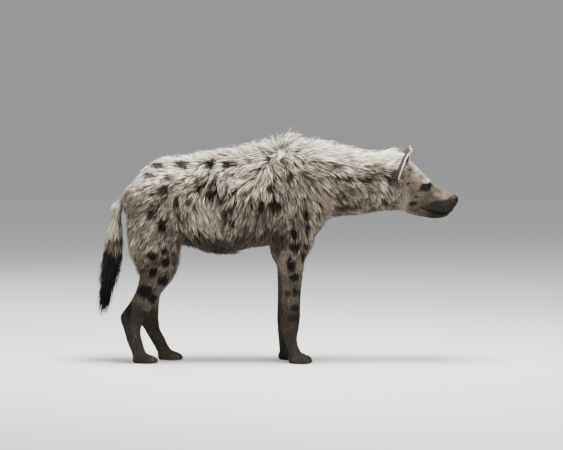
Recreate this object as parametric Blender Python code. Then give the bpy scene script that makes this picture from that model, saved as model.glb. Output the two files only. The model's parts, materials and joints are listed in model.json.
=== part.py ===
"""Spotted hyena, life size, standing with the neck stretched forward: the museum model's solids.

Metres, +Z up, +X towards the nose, +Y towards the animal's left. The origin is under the middle of
the whole model, on the floor. The body is modelled whole and parted with thin cuts.
"""
import math
import random

import bmesh
import bpy
import numpy as np
from mathutils import Matrix, Vector
from mathutils.bvhtree import BVHTree

# Space that parted pieces keep
GAP = 0.0003

# How much of the coat's depth the solid core takes: half under locks, all of it where fur is short
CORE_FILL = 0.5
SHORT_FILL = 1.0

# Detail of the whole body before it is parted
VOXEL = 0.005
FINE_ROUNDS = 4
BROAD_ROUNDS = 34
BODY_TRIANGLES = 3300
DETAIL_WORTH = 0.00024
RING_SIDES = 28
RING_STEP = 0.012

# Outlines with the coat on. x, top, low, half width, height of the widest place as a share,
# then the coat's depth on top, below and at the side.
TRUNK = [
    (-0.556, 0.616, 0.562, 0.030, 0.50, 0.010, 0.010, 0.008),
    (-0.535, 0.640, 0.520, 0.062, 0.50, 0.014, 0.012, 0.012),
    (-0.495, 0.681, 0.482, 0.090, 0.55, 0.016, 0.014, 0.016),
    (-0.450, 0.719, 0.452, 0.106, 0.55, 0.018, 0.016, 0.020),
    (-0.390, 0.740, 0.425, 0.112, 0.50, 0.022, 0.020, 0.022),
    (-0.300, 0.745, 0.406, 0.115, 0.45, 0.026, 0.022, 0.026),
    (-0.235, 0.760, 0.391, 0.123, 0.42, 0.036, 0.026, 0.028),
    (-0.170, 0.772, 0.391, 0.131, 0.42, 0.040, 0.024, 0.028),
    (-0.100, 0.782, 0.406, 0.134, 0.42, 0.040, 0.016, 0.026),
    (-0.030, 0.800, 0.418, 0.130, 0.42, 0.044, 0.012, 0.024),
    (0.030, 0.826, 0.418, 0.120, 0.42, 0.052, 0.012, 0.024),
    (0.075, 0.810, 0.416, 0.110, 0.42, 0.044, 0.014, 0.022),
    (0.110, 0.800, 0.424, 0.106, 0.45, 0.042, 0.020, 0.022),
    (0.140, 0.785, 0.450, 0.094, 0.50, 0.040, 0.022, 0.022),
    (0.165, 0.745, 0.500, 0.072, 0.50, 0.030, 0.022, 0.022),
    (0.180, 0.700, 0.550, 0.040, 0.50, 0.020, 0.020, 0.014),
]
NECK = [
    (0.060, 0.808, 0.470, 0.108, 0.50, 0.044, 0.016, 0.022),
    (0.120, 0.801, 0.495, 0.107, 0.50, 0.044, 0.018, 0.022),
    (0.180, 0.792, 0.514, 0.101, 0.50, 0.044, 0.018, 0.020),
    (0.240, 0.776, 0.523, 0.091, 0.50, 0.042, 0.016, 0.018),
    (0.300, 0.762, 0.527, 0.081, 0.50, 0.038, 0.014, 0.016),
    (0.360, 0.757, 0.536, 0.078, 0.50, 0.036, 0.013, 0.014),
    (0.405, 0.759, 0.541, 0.078, 0.50, 0.034, 0.012, 0.014),
    (0.440, 0.748, 0.543, 0.079, 0.50, 0.026, 0.010, 0.012),
    (0.462, 0.728, 0.546, 0.076, 0.50, 0.018, 0.010, 0.010),
]
SKULL = [
    (0.400, 0.742, 0.547, 0.068, 0.50, 0.014, 0.010, 0.010),
    (0.440, 0.740, 0.543, 0.080, 0.48, 0.014, 0.009, 0.009),
    (0.465, 0.729, 0.539, 0.088, 0.46, 0.010, 0.008, 0.008),
    (0.487, 0.714, 0.533, 0.091, 0.45, 0.008, 0.006, 0.007),
    (0.507, 0.696, 0.529, 0.086, 0.44, 0.006, 0.005, 0.006),
    (0.527, 0.677, 0.527, 0.074, 0.42, 0.005, 0.004, 0.005),
    (0.546, 0.660, 0.527, 0.060, 0.40, 0.004, 0.004, 0.004),
    (0.560, 0.642, 0.528, 0.051, 0.38, 0.004, 0.003, 0.004),
    (0.574, 0.629, 0.530, 0.047, 0.38, 0.003, 0.003, 0.003),
    (0.594, 0.620, 0.532, 0.0455, 0.40, 0.003, 0.003, 0.003),
    (0.612, 0.610, 0.537, 0.0435, 0.44, 0.003, 0.002, 0.003),
    (0.627, 0.602, 0.546, 0.037, 0.50, 0.002, 0.002, 0.002),
    (0.638, 0.596, 0.556, 0.028, 0.52, 0.001, 0.001, 0.001),
    (0.645, 0.590, 0.566, 0.016, 0.54, 0.001, 0.001, 0.001),
]
JAW = [
    (0.470, 0.600, 0.533, 0.062, 0.50, 0.006, 0.006, 0.006),
    (0.500, 0.585, 0.526, 0.060, 0.50, 0.005, 0.005, 0.005),
    (0.530, 0.570, 0.521, 0.050, 0.50, 0.004, 0.004, 0.004),
    (0.560, 0.556, 0.517, 0.043, 0.50, 0.003, 0.003, 0.003),
    (0.588, 0.548, 0.519, 0.038, 0.50, 0.003, 0.003, 0.003),
    (0.604, 0.545, 0.524, 0.031, 0.50, 0.002, 0.002, 0.002),
    (0.614, 0.542, 0.531, 0.018, 0.50, 0.001, 0.001, 0.001),
]

# Outlines of a right leg, level by level. z, back, front, distance of its middle from the
# midline, half thickness, coat at back and front, coat at the side.
FORE_LEG = [
    (0.700, 0.008, 0.070, 0.060, 0.022, 0.014, 0.014),
    (0.630, -0.018, 0.112, 0.074, 0.044, 0.020, 0.022),
    (0.560, -0.024, 0.138, 0.078, 0.050, 0.020, 0.022),
    (0.490, -0.028, 0.143, 0.080, 0.050, 0.020, 0.020),
    (0.440, -0.030, 0.133, 0.080, 0.048, 0.018, 0.018),
    (0.405, -0.024, 0.120, 0.079, 0.044, 0.014, 0.014),
    (0.375, -0.008, 0.102, 0.077, 0.038, 0.010, 0.010),
    (0.345, 0.005, 0.095, 0.076, 0.033, 0.007, 0.007),
    (0.300, 0.009, 0.088, 0.075, 0.030, 0.006, 0.006),
    (0.250, 0.009, 0.083, 0.074, 0.028, 0.005, 0.005),
    (0.200, 0.0075, 0.080, 0.073, 0.0265, 0.005, 0.005),
    (0.160, 0.007, 0.079, 0.072, 0.028, 0.004, 0.004),
    (0.130, 0.009, 0.077, 0.072, 0.028, 0.004, 0.004),
    (0.105, 0.0135, 0.072, 0.072, 0.0255, 0.004, 0.004),
    (0.080, 0.021, 0.071, 0.072, 0.024, 0.004, 0.004),
    (0.055, 0.030, 0.078, 0.072, 0.026, 0.004, 0.004),
    (0.032, 0.037, 0.090, 0.072, 0.029, 0.004, 0.004),
    (0.012, 0.038, 0.096, 0.072, 0.028, 0.003, 0.003),
]
HIND_LEG = [
    (0.685, -0.470, -0.392, 0.046, 0.022, 0.012, 0.012),
    (0.640, -0.524, -0.356, 0.058, 0.046, 0.018, 0.020),
    (0.560, -0.546, -0.340, 0.066, 0.056, 0.016, 0.020),
    (0.490, -0.545, -0.334, 0.069, 0.057, 0.016, 0.020),
    (0.430, -0.540, -0.336, 0.071, 0.055, 0.018, 0.018),
    (0.385, -0.526, -0.348, 0.072, 0.050, 0.018, 0.016),
    (0.350, -0.504, -0.356, 0.072, 0.044, 0.014, 0.013),
    (0.315, -0.498, -0.372, 0.071, 0.038, 0.011, 0.010),
    (0.282, -0.505, -0.397, 0.070, 0.034, 0.008, 0.008),
    (0.250, -0.517, -0.419, 0.069, 0.031, 0.006, 0.006),
    (0.220, -0.532, -0.437, 0.068, 0.028, 0.005, 0.005),
    (0.190, -0.550, -0.457, 0.067, 0.026, 0.005, 0.005),
    (0.165, -0.565, -0.474, 0.066, 0.025, 0.004, 0.004),
    (0.140, -0.561, -0.487, 0.066, 0.024, 0.004, 0.004),
    (0.110, -0.551, -0.493, 0.066, 0.022, 0.004, 0.004),
    (0.080, -0.543, -0.486, 0.066, 0.022, 0.004, 0.004),
    (0.052, -0.534, -0.477, 0.066, 0.024, 0.004, 0.004),
    (0.032, -0.526, -0.464, 0.066, 0.026, 0.004, 0.004),
    (0.012, -0.522, -0.455, 0.066, 0.025, 0.003, 0.003),
]
# How far each left leg stands ahead of the right one, by height: z, lead
FORE_LEAD = [
    (0.00, -0.036),
    (0.04, -0.033),
    (0.08, -0.022),
    (0.12, -0.013),
    (0.20, -0.009),
    (0.30, -0.010),
    (0.36, -0.007),
    (0.42, 0.000),
]
HIND_LEAD = [
    (0.00, 0.086),
    (0.05, 0.082),
    (0.08, 0.076),
    (0.11, 0.067),
    (0.14, 0.056),
    (0.17, 0.041),
    (0.20, 0.021),
    (0.23, 0.006),
    (0.26, 0.000),
]

# Paws: heel, toe tip, middle, half width and height, in the frame of a right leg
FORE_PAW = {"heel": 0.036, "tip": 0.126, "mid": 0.072, "half": 0.040, "height": 0.037}
HIND_PAW = {"heel": -0.523, "tip": -0.428, "mid": 0.066, "half": 0.035, "height": 0.033}
TOES = 4
TOE_SET_BACK = 0.017

# Tail: x and z of its middle, then the outline's radius and the coat's depth
TAIL = [
    (-0.5470, 0.582, 0.023, 0.010),
    (-0.5560, 0.579, 0.023, 0.010),
    (-0.566, 0.572, 0.0215, 0.010),
    (-0.576, 0.550, 0.0205, 0.009),
    (-0.580, 0.515, 0.0205, 0.009),
    (-0.583, 0.470, 0.0225, 0.010),
    (-0.588, 0.420, 0.025, 0.014),
    (-0.597, 0.370, 0.030, 0.022),
    (-0.606, 0.320, 0.033, 0.028),
    (-0.611, 0.280, 0.031, 0.028),
    (-0.617, 0.245, 0.024, 0.023),
    (-0.624, 0.215, 0.015, 0.014),
    (-0.632, 0.185, 0.004, 0.003),
]
TAIL_SIDES, TAIL_STEP = 8, 0.04
TAIL_ROOT_X = -0.553
TUFT_TOP = 0.415

# Breast between the shoulders
CHEST_FORMS = [
    ((0.100, 0.0, 0.560), (0.072, 0.098, 0.110)),
    ((0.066, 0.0, 0.482), (0.070, 0.088, 0.070)),
]

# Locks of the long coat. Each row of the lie is x, z, heading in degrees (0 forward, -90 down),
# length, and how far the tip stands off the core.
LIE = [
    (-0.540, 0.600, 232, 0.085, 0.012),
    (-0.505, 0.655, 212, 0.095, 0.012),
    (-0.461, 0.720, 196, 0.100, 0.012),
    (-0.380, 0.735, 186, 0.100, 0.013),
    (-0.317, 0.690, 200, 0.095, 0.013),
    (-0.530, 0.460, 246, 0.080, 0.010),
    (-0.443, 0.475, 238, 0.080, 0.011),
    (-0.450, 0.580, 222, 0.090, 0.012),
    (-0.371, 0.439, 262, 0.080, 0.011),
    (-0.360, 0.580, 250, 0.090, 0.013),
    (-0.281, 0.560, 296, 0.110, 0.014),
    (-0.250, 0.450, 308, 0.110, 0.014),
    (-0.210, 0.660, 262, 0.095, 0.014),
    (-0.155, 0.560, 250, 0.100, 0.014),
    (-0.119, 0.450, 254, 0.095, 0.012),
    (-0.110, 0.700, 235, 0.090, 0.014),
    (-0.047, 0.560, 260, 0.090, 0.012),
    (0.043, 0.600, 276, 0.095, 0.012),
    (0.030, 0.720, 292, 0.095, 0.014),
    (0.133, 0.637, 312, 0.110, 0.012),
    (0.120, 0.740, 330, 0.100, 0.014),
    (0.061, 0.460, 272, 0.075, 0.010),
    (0.144, 0.493, 285, 0.080, 0.010),
    (0.280, 0.700, 338, 0.085, 0.011),
    (0.390, 0.690, 322, 0.070, 0.009),
    (0.300, 0.600, 300, 0.060, 0.008),
]
LIE_REACH = 0.055
LOCK_SPACING = (0.078, 0.063)
LOCK_LEVELS = (0.450, 0.785)
LOCK_JITTER = 0.010
STEEPEST_TOP = 0.93
LOCK_HALF = 0.0240
LOCK_LONGER = 1.34
LOCK_WAVE = 0.005
# Stations along a lock: share of the length, share of the half width, height of the ridge and of
# the edges as shares of the stand-off, with the root sunk below the surface.
LOCK_STATIONS = [
    (0.00, 0.45, -0.30, -0.80),
    (0.24, 1.00, 0.85, 0.27),
    (0.64, 0.70, 1.08, 0.52),
]

# Mane and crest: rows of lifted locks along the back. Distance from the midline, first and last x
# and step of each row, then the heading in degrees, length, stand-off and half width by x.
CREST_ROWS = [
    (0.000, -0.500, 0.375, 0.053),
    (0.030, -0.485, 0.370, 0.056),
    (0.062, -0.140, 0.130, 0.070),
]
CREST = [
    (-0.500, 190, 0.120, 0.012, 0.022),
    (-0.340, 186, 0.115, 0.016, 0.021),
    (-0.230, 178, 0.100, 0.026, 0.018),
    (-0.100, 174, 0.095, 0.029, 0.018),
    (-0.020, 160, 0.085, 0.034, 0.018),
    (0.020, 40, 0.080, 0.036, 0.018),
    (0.120, 8, 0.105, 0.029, 0.019),
    (0.240, 0, 0.115, 0.024, 0.019),
    (0.410, 0, 0.095, 0.020, 0.017),
]
CREST_SPREAD = 0.36
CREST_STATIONS = [
    (0.00, 0.45, -0.30, -0.55),
    (0.26, 1.00, 0.46, 0.08),
    (0.66, 0.66, 0.86, 0.46),
]

# Tail tuft: height where each tier of locks starts, locks in it, their length and half width
TUFT_TIERS = [(0.425, 4, 0.140, 0.0120), (0.355, 4, 0.130, 0.0140), (0.290, 3, 0.105, 0.0110)]
SEED = 7

# Face
EYE_X, EYE_Z = 0.5310, 0.6315
EYE_RADIUS = 0.0120
EYE_SINK = 0.0105
EYE_GAZE = Vector((0.60, 0.79, 0.08)).normalized()
EYE_SLANT = math.radians(16)
LID_THICK = 0.0030
LID_OPEN_HALF = (0.0112, 0.0066)
BALL_SIDES = 12
EAR_BASE = Vector((0.4270, 0.0560, 0.6380))
EAR_TIP = Vector((0.4790, 0.0880, 0.7680))
EAR_OPENS_BASE, EAR_OPENS_TIP = math.radians(34), math.radians(16)
EAR_HALF = 0.0390
EAR_WIDEST, EAR_ROUND = 0.52, 2.9
EAR_ROWS, EAR_COLUMNS, EAR_ROW_DRIFT = 8, 6, 1.5
EAR_THICK = 0.0042
EAR_CURL_BASE, EAR_CURL_TIP = math.radians(78), math.radians(30)
NOSE_CENTRE = Vector((0.6355, 0.0, 0.5850))
NOSE_RADII = (0.0125, 0.0235, 0.0145)
NOSTRIL = Vector((0.6450, 0.0105, 0.5835))
NOSTRIL_RADII = (0.0070, 0.0040, 0.0052)
MOUTH_SIDE = [
    (0.519, 0.5630),
    (0.533, 0.5545),
    (0.551, 0.5470),
    (0.572, 0.5395),
    (0.590, 0.5370),
    (0.604, 0.5385),
]
MOUTH_FRONT = [(-0.018, 0.5430), (-0.008, 0.5480), (0.0, 0.5505), (0.008, 0.5480), (0.018, 0.5430)]
MOUTH_DEEP, MOUTH_TALL = 0.0050, 0.0024
CLAW_LONG, CLAW_THICK = 0.0135, 0.0046
CLAW_PITCH = math.radians(122)

# Looks of the nodes: colour and roughness, by the start of the name
LOOKS = {
    "head": ((0.30, 0.25, 0.19), 0.85),
    "neck": ((0.58, 0.52, 0.42), 0.90),
    "torso": ((0.44, 0.38, 0.30), 0.90),
    "tail_dock": ((0.48, 0.42, 0.33), 0.90),
    "tail_tuft": ((0.035, 0.028, 0.022), 0.90),
    "shoulder": ((0.36, 0.31, 0.24), 0.90),
    "forearm": ((0.26, 0.22, 0.17), 0.88),
    "forepaw": ((0.20, 0.17, 0.13), 0.88),
    "thigh": ((0.34, 0.29, 0.22), 0.90),
    "shank": ((0.26, 0.22, 0.17), 0.88),
    "hind_pastern": ((0.19, 0.16, 0.12), 0.88),
    "hind_paw": ((0.19, 0.16, 0.12), 0.88),
    "ear": ((0.20, 0.17, 0.13), 0.85),
    "eye": ((0.030, 0.020, 0.014), 0.08),
    "nose": ((0.018, 0.016, 0.015), 0.35),
}

# Parting cuts
HEAD_CUT = ((0.390, 0.775), (0.428, 0.530))
NECK_CUT = ((0.112, 0.830), (0.186, 0.500))
SHOULDER = {"back": -0.048, "front": 0.132, "spring": 0.500, "top": 0.705, "inner": 0.056}
HAUNCH = {"back": -0.640, "front": -0.338, "spring": 0.520, "top": 0.690, "inner": 0.050}
FORE_CROTCH, HIND_CROTCH = 0.412, 0.405
ELBOW_Z, WRIST_Z = 0.392, 0.098
KNEE_Z, HOCK_Z, HIND_PAW_Z = 0.330, 0.128, 0.046
LEG_INNER = 0.002


def clear_scene():
    for thing in list(bpy.data.objects):
        bpy.data.objects.remove(thing, do_unlink=True)


def smooth_rows(rows, step):
    """Rows run through a smooth curve, so that they lie about one step apart."""
    table = [np.array(row, float) for row in rows]
    made = []
    for i in range(len(table) - 1):
        before = table[max(i - 1, 0)]
        after = table[min(i + 2, len(table) - 1)]
        here, there = table[i], table[i + 1]
        count = max(1, round(float(np.linalg.norm((there - here)[:2])) / step))
        for k in range(count):
            t = k / count
            made.append(
                0.5
                * (
                    2 * here
                    + (there - before) * t
                    + (2 * before - 5 * here + 4 * there - after) * t**2
                    + (3 * here - before - 3 * there + after) * t**3
                )
            )
    made.append(table[-1])
    return made


def loft(bm, rings, sides):
    """A closed tube through the rings. A ring is a function that takes a turn in radians."""
    turn = bm.verts.layers.float.get("turn") or bm.verts.layers.float.new("turn")
    circle = bmesh.ops.create_circle(bm, segments=sides, radius=1.0)["verts"]
    for vert in circle:
        vert[turn] = math.atan2(vert.co.y, vert.co.x)
        vert.co = rings[0](vert[turn])
    edges = list({edge for vert in circle for edge in vert.link_edges})
    bmesh.ops.contextual_create(bm, geom=edges)
    for ring in rings[1:]:
        made = bmesh.ops.extrude_edge_only(bm, edges=edges)["geom"]
        for vert in (item for item in made if isinstance(item, bmesh.types.BMVert)):
            vert.co = ring(vert[turn])
        fresh = {item for item in made if isinstance(item, bmesh.types.BMVert)}
        edges = [
            item
            for item in made
            if isinstance(item, bmesh.types.BMEdge) and fresh.issuperset(item.verts)
        ]
    bmesh.ops.contextual_create(bm, geom=edges)


def body_ring(row, fill):
    """An upright ring of the trunk, neck or head, with part of the coat's depth left on."""
    x, top, low, half, wide, coat_top, coat_low, coat_side = row
    bare = 1.0 - fill
    top -= coat_top * bare
    low += coat_low * bare
    half = max(half - coat_side * bare, 0.002)
    middle = low + (top - low) * wide

    def ring(turn):
        rise = math.sin(turn)
        reach = top - middle if rise > 0 else middle - low
        return Vector((x, half * math.cos(turn), middle + reach * rise))

    return ring


def leg_shift(lead, side, z):
    """How far forward a leg stands at a height. Only left legs are set off from the tables."""
    if side < 0:
        return 0.0
    return float(np.interp(z, [row[0] for row in lead], [row[1] for row in lead]))


def leg_ring(row, side, lead, fill):
    """A level ring of a leg. side is -1 for the right leg and 1 for the left one."""
    z, back, front, mid, half, coat_edge, coat_side = row
    bare = 1.0 - fill
    back += coat_edge * bare
    front -= coat_edge * bare
    half = max(half - coat_side * bare, 0.002)
    middle, reach = (back + front) / 2 + leg_shift(lead, side, z), (front - back) / 2

    def ring(turn):
        return Vector((middle + reach * math.cos(turn), side * mid + half * math.sin(turn), z))

    return ring


def ball(bm, centre, radii, tilt=0.0, segments=20):
    """An ellipsoid, pitched nose down by tilt radians."""
    matrix = (
        Matrix.Translation(centre)
        @ Matrix.Rotation(tilt, 4, "Y")
        @ Matrix.Diagonal((*radii, 1.0))
    )
    bmesh.ops.create_uvsphere(
        bm, u_segments=segments, v_segments=segments // 2, radius=1.0, matrix=matrix
    )


def paw(bm, size, side, shift):
    """A foot: a low pad and four toes that fan out a little."""
    length = size["tip"] - size["heel"]
    centre = side * size["mid"]
    ball(
        bm,
        Vector((size["heel"] + 0.42 * length + shift, centre, size["height"] * 0.40)),
        (0.44 * length, 0.86 * size["half"], size["height"] * 0.72),
    )
    for k in range(TOES):
        across = (k - (TOES - 1) / 2) / ((TOES - 1) / 2)
        back = TOE_SET_BACK * abs(across) ** 1.5
        radius = 0.31 * size["half"]
        ball(
            bm,
            Vector(
                (
                    size["tip"] - 0.25 * length - back + shift,
                    centre + across * (size["half"] - radius * 1.05),
                    size["height"] * 0.33,
                )
            ),
            (0.27 * length, radius * 1.12, size["height"] * 0.56),
            tilt=0.16,
            segments=16,
        )


def head_forms(bm):
    """Cheeks, brows, jaw muscle and muzzle corners on both sides of the skull."""
    for side in (-1, 1):
        ball(bm, Vector((0.478, side * 0.060, 0.597)), (0.044, 0.029, 0.046), 0.35)
        ball(bm, Vector((0.506, side * 0.062, 0.620)), (0.038, 0.018, 0.018), 0.30)
        ball(bm, Vector((0.520, side * 0.040, 0.654)), (0.030, 0.020, 0.015), 0.62)
        ball(bm, Vector((0.597, side * 0.026, 0.560)), (0.036, 0.021, 0.028), 0.10)
        ball(bm, Vector((0.440, side * 0.054, 0.668)), (0.024, 0.020, 0.034), -0.2)


def whole_body():
    """The body as one closed, blended surface, without ears, eyes, nose pad and tail."""
    bm = bmesh.new()
    for rows, fill in ((TRUNK, CORE_FILL), (NECK, CORE_FILL), (SKULL, SHORT_FILL), (JAW, SHORT_FILL)):
        step = RING_STEP
        loft(bm, [body_ring(row, fill) for row in smooth_rows(rows, step)], RING_SIDES)
    head_forms(bm)
    for centre, radii in CHEST_FORMS:
        ball(bm, Vector(centre), radii)
    for side in (-1, 1):
        for rows, lead, foot in ((FORE_LEG, FORE_LEAD, FORE_PAW), (HIND_LEG, HIND_LEAD, HIND_PAW)):
            rows = smooth_rows(rows, RING_STEP)
            loft(bm, [leg_ring(row, side, lead, CORE_FILL) for row in rows], RING_SIDES)
            paw(bm, foot, side, leg_shift(lead, side, 0.0))
    bmesh.ops.recalc_face_normals(bm, faces=bm.faces)
    mesh = bpy.data.meshes.new("whole")
    bm.to_mesh(mesh)
    bm.free()
    whole = bpy.data.objects.new("whole", mesh)
    bpy.context.collection.objects.link(whole)
    remesh = whole.modifiers.new("Blend", "REMESH")
    remesh.mode = "VOXEL"
    remesh.voxel_size = VOXEL
    apply_modifiers(whole)
    broad = whole.vertex_groups.new(name="broad")
    plain = whole.vertex_groups.new(name="plain")
    for vert in whole.data.vertices:
        broad.add([vert.index], broad_share(vert.co), "REPLACE")
        plain.add([vert.index], 0.05 + 0.95 * broad_share(vert.co), "REPLACE")
    for name, rounds, group in (("Soften", FINE_ROUNDS, ""), ("Join", BROAD_ROUNDS, "broad")):
        soften = whole.modifiers.new(name, "SMOOTH")
        soften.factor = 0.5
        soften.iterations = rounds
        soften.vertex_group = group
    apply_modifiers(whole)
    thin = whole.modifiers.new("Thin", "DECIMATE")
    thin.ratio = BODY_TRIANGLES / (2 * len(whole.data.polygons))
    thin.vertex_group = "plain"
    thin.vertex_group_factor = DETAIL_WORTH
    thin.use_collapse_triangulate = True
    apply_modifiers(whole)
    return whole


def lie_at(x, z):
    """The coat's heading, lock length and stand-off at a place in the side view."""
    near = [math.exp(-((x - row[0]) ** 2 + (z - row[1]) ** 2) / LIE_REACH**2) + 1e-9 for row in LIE]
    total = sum(near)
    along = sum(w * math.cos(math.radians(row[2])) for w, row in zip(near, LIE))
    up = sum(w * math.sin(math.radians(row[2])) for w, row in zip(near, LIE))
    length = sum(w * row[3] for w, row in zip(near, LIE)) / total
    stand_off = sum(w * row[4] for w, row in zip(near, LIE)) / total
    return math.atan2(up, along), length * LOCK_LONGER, stand_off


def crosses_itself(bm):
    """Whether two faces that share no corner meet."""
    tree = BVHTree.FromBMesh(bm)
    bm.faces.ensure_lookup_table()
    return any(
        not set(bm.faces[a].verts) & set(bm.faces[b].verts) for a, b in tree.overlap(tree) if a < b
    )


def lock_from_rings(rings):
    """A closed lock from rings of three places each and its tip, or None where it folds over."""
    bm = bmesh.new()
    made = [[bm.verts.new(place) for place in ring] for ring in rings]
    bm.faces.new(made[0])
    for here, there in zip(made, made[1:-1]):
        for i in range(3):
            j = (i + 1) % 3
            bm.faces.new((here[i], here[j], there[j]))
            bm.faces.new((here[i], there[j], there[i]))
    tip = made[-1][0]
    for i in range(3):
        bm.faces.new((made[-2][i], made[-2][(i + 1) % 3], tip))
    if crosses_itself(bm):
        bm.free()
        return None
    return solid_object("lock", bm)


def laid_lock(tree, root, heading, length, stand_off, half, wave, stations=LOCK_STATIONS):
    """A flat tapered lock with a ridge, laid on the surface from a sunk root to a free tip."""
    point, normal, _, _ = tree.find_nearest(root)
    rings = []
    walked = 0.0
    for share, width, ridge, edge in stations + [(1.0, 0.0, 1.0, 1.0)]:
        along = (heading - normal * heading.dot(normal)).normalized()
        side = normal.cross(along)
        step = along * (share - walked) * length + side * wave * math.sin(math.pi * share)
        point, normal, _, _ = tree.find_nearest(point + step)
        walked = share
        ring = [point + normal * ridge * stand_off]
        for turn in (-1, 1) if width else ():
            foot, rise, _, _ = tree.find_nearest(point + side * turn * width * half)
            ring.append(foot + rise * edge * stand_off)
        rings.append(ring)
    return lock_from_rings(rings)


def free_lock(start, heading, bend, face, length, half, thick):
    """A flat tapered lock in the open. face is the way its ridge looks; bend is where it curls."""
    rings = []
    for share, width, _, _ in LOCK_STATIONS + [(1.0, 0.0, 0.0, 0.0)]:
        place = start + heading * length * share + bend * length * share**2
        along = (heading + 2 * bend * share).normalized()
        side = along.cross(face).normalized()
        if width:
            low = place - face * thick * 0.4
            rings.append(
                [place + face * thick * 0.6, low - side * width * half, low + side * width * half]
            )
        else:
            rings.append([place])
    return lock_from_rings(rings)


def gather(group, thing):
    """Moves a new piece to the group. A lock that would fold over itself isn't there to move."""
    if thing:
        bpy.context.collection.objects.unlink(thing)
        group.objects.link(thing)


def side_locks(group, tree, draw):
    """Locks of the flanks, shoulders, haunches and upper neck."""
    step_x, step_z = LOCK_SPACING
    low, high = LOCK_LEVELS
    for side in (-1, 1):
        for row in range(math.ceil((high - low) / step_z)):
            for column in range(16):
                x = -0.562 + (column + 0.5 * (row % 2)) * step_x + draw.uniform(-1, 1) * LOCK_JITTER
                z = low + row * step_z + draw.uniform(-1, 1) * LOCK_JITTER
                if not grows_long(x, z):
                    continue
                point, normal, _, _ = tree.ray_cast(Vector((x, side * 0.5, z)), Vector((0, -side, 0)))
                if point is None or normal.z > STEEPEST_TOP:
                    continue
                turn, length, stand_off = lie_at(x, z)
                turn += draw.uniform(-0.14, 0.14)
                heading = Vector((math.cos(turn), 0, math.sin(turn)))
                length *= draw.uniform(0.88, 1.12)
                half = LOCK_HALF * draw.uniform(0.88, 1.12)
                wave = LOCK_WAVE * draw.uniform(-1, 1)
                gather(group, laid_lock(tree, point, heading, length, stand_off, half, wave))


def crest_locks(group, tree, draw):
    """The mane: lifted locks, swept back behind the withers and forwards on the neck."""
    xs = [row[0] for row in CREST]
    columns = list(zip(*CREST))
    for off, start, end, step in CREST_ROWS:
        for side in (-1, 1) if off else (1,):
            for k in range(int((end - start) / step) + 1):
                x = start + (k + (0.5 if side < 0 else 0.0)) * step + draw.uniform(-1, 1) * 0.006
                turn, length, stand_off, half = (
                    float(np.interp(x, xs, column)) for column in columns[1:]
                )
                turn = math.radians(turn + draw.uniform(-12, 12))
                point, _, _, _ = tree.ray_cast(Vector((x, side * off, 1.2)), Vector((0, 0, -1)))
                sweep = side * CREST_SPREAD * (off > 0) + draw.uniform(-0.20, 0.20)
                heading = Vector((math.cos(turn), sweep, 0.0)).normalized()
                length *= draw.uniform(0.85, 1.2)
                stand_off *= draw.uniform(0.75, 1.1)
                wave = LOCK_WAVE * draw.uniform(-1, 1)
                made = laid_lock(
                    tree, point, heading, length, stand_off, half, wave, CREST_STATIONS
                )
                gather(group, made)


def tuft_locks(group, rows, draw):
    """Long locks that hang round the core of the tail's tuft."""
    levels = [row[1] for row in rows][::-1]
    for tier, (top, count, length, half) in enumerate(TUFT_TIERS):
        for k in range(count):
            turn = math.tau * (k + 0.5 * (tier % 2)) / count + draw.uniform(-0.15, 0.15)
            x = float(np.interp(top, levels, [row[0] for row in rows][::-1]))
            size = float(np.interp(top, levels, [row[2] - row[3] * 0.5 for row in rows][::-1]))
            out = Vector((math.cos(turn), math.sin(turn), 0))
            root = Vector((x, 0, top)) + out * (size - 0.006)
            heading = (Vector((-0.085, 0, -1)) + out * 0.10).normalized()
            bend = Vector((-0.05, 0, 0)) + out * draw.uniform(-0.05, 0.03)
            face = (out - heading * out.dot(heading)).normalized()
            long = length * draw.uniform(0.92, 1.08)
            gather(group, free_lock(root, heading, bend, face, long, half, 0.0085))


def new_group():
    group = bpy.data.collections.new("locks")
    bpy.context.scene.collection.children.link(group)
    return group


def body_locks(whole):
    """All locks of the trunk, neck and upper legs, in a collection."""
    tree = tree_of(whole)
    draw = random.Random(SEED)
    group = new_group()
    side_locks(group, tree, draw)
    crest_locks(group, tree, draw)
    return group


def grows_long(x, z):
    """Whether the coat is long enough for locks at a place in the side view."""
    if x > 0.17:
        return z > 0.64 and x < 0.38
    return z > (0.50 if x > -0.02 else 0.47 if x > -0.30 else 0.44)


def broad_share(point):
    """1 on the trunk and the upper legs, 0 on the head and the feet, between them on the way."""
    over_feet = min(max((point.z - 0.20) / 0.14, 0.0), 1.0)
    behind_head = min(max((0.46 - point.x) / 0.08, 0.0), 1.0)
    return over_feet * behind_head


def apply_modifiers(thing):
    graph = bpy.context.evaluated_depsgraph_get()
    mesh = bpy.data.meshes.new_from_object(thing.evaluated_get(graph))
    thing.modifiers.clear()
    thing.data = mesh


def solid_object(name, bm):
    bmesh.ops.recalc_face_normals(bm, faces=bm.faces)
    mesh = bpy.data.meshes.new(name)
    bm.to_mesh(mesh)
    bm.free()
    thing = bpy.data.objects.new(name, mesh)
    bpy.context.collection.objects.link(thing)
    return thing


def union_all(target, group):
    """Joins every object of a collection to the target in one union, then drops them."""
    join = target.modifiers.new("Join", "BOOLEAN")
    join.operation = "UNION"
    join.operand_type = "COLLECTION"
    join.collection = group
    join.solver = "EXACT"
    join.use_self = False
    apply_modifiers(target)
    for thing in list(group.objects):
        bpy.data.objects.remove(thing, do_unlink=True)
    bpy.data.collections.remove(group)
    keep_largest(target)


def boolean(target, other, operation):
    cut = target.modifiers.new("Part", "BOOLEAN")
    cut.operation = operation
    cut.object = other
    cut.solver = "EXACT"
    apply_modifiers(target)


def copy_of(thing, name):
    made = bpy.data.objects.new(name, thing.data.copy())
    bpy.context.collection.objects.link(made)
    return made


def remove(*things):
    for thing in things:
        bpy.data.objects.remove(thing, do_unlink=True)


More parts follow.
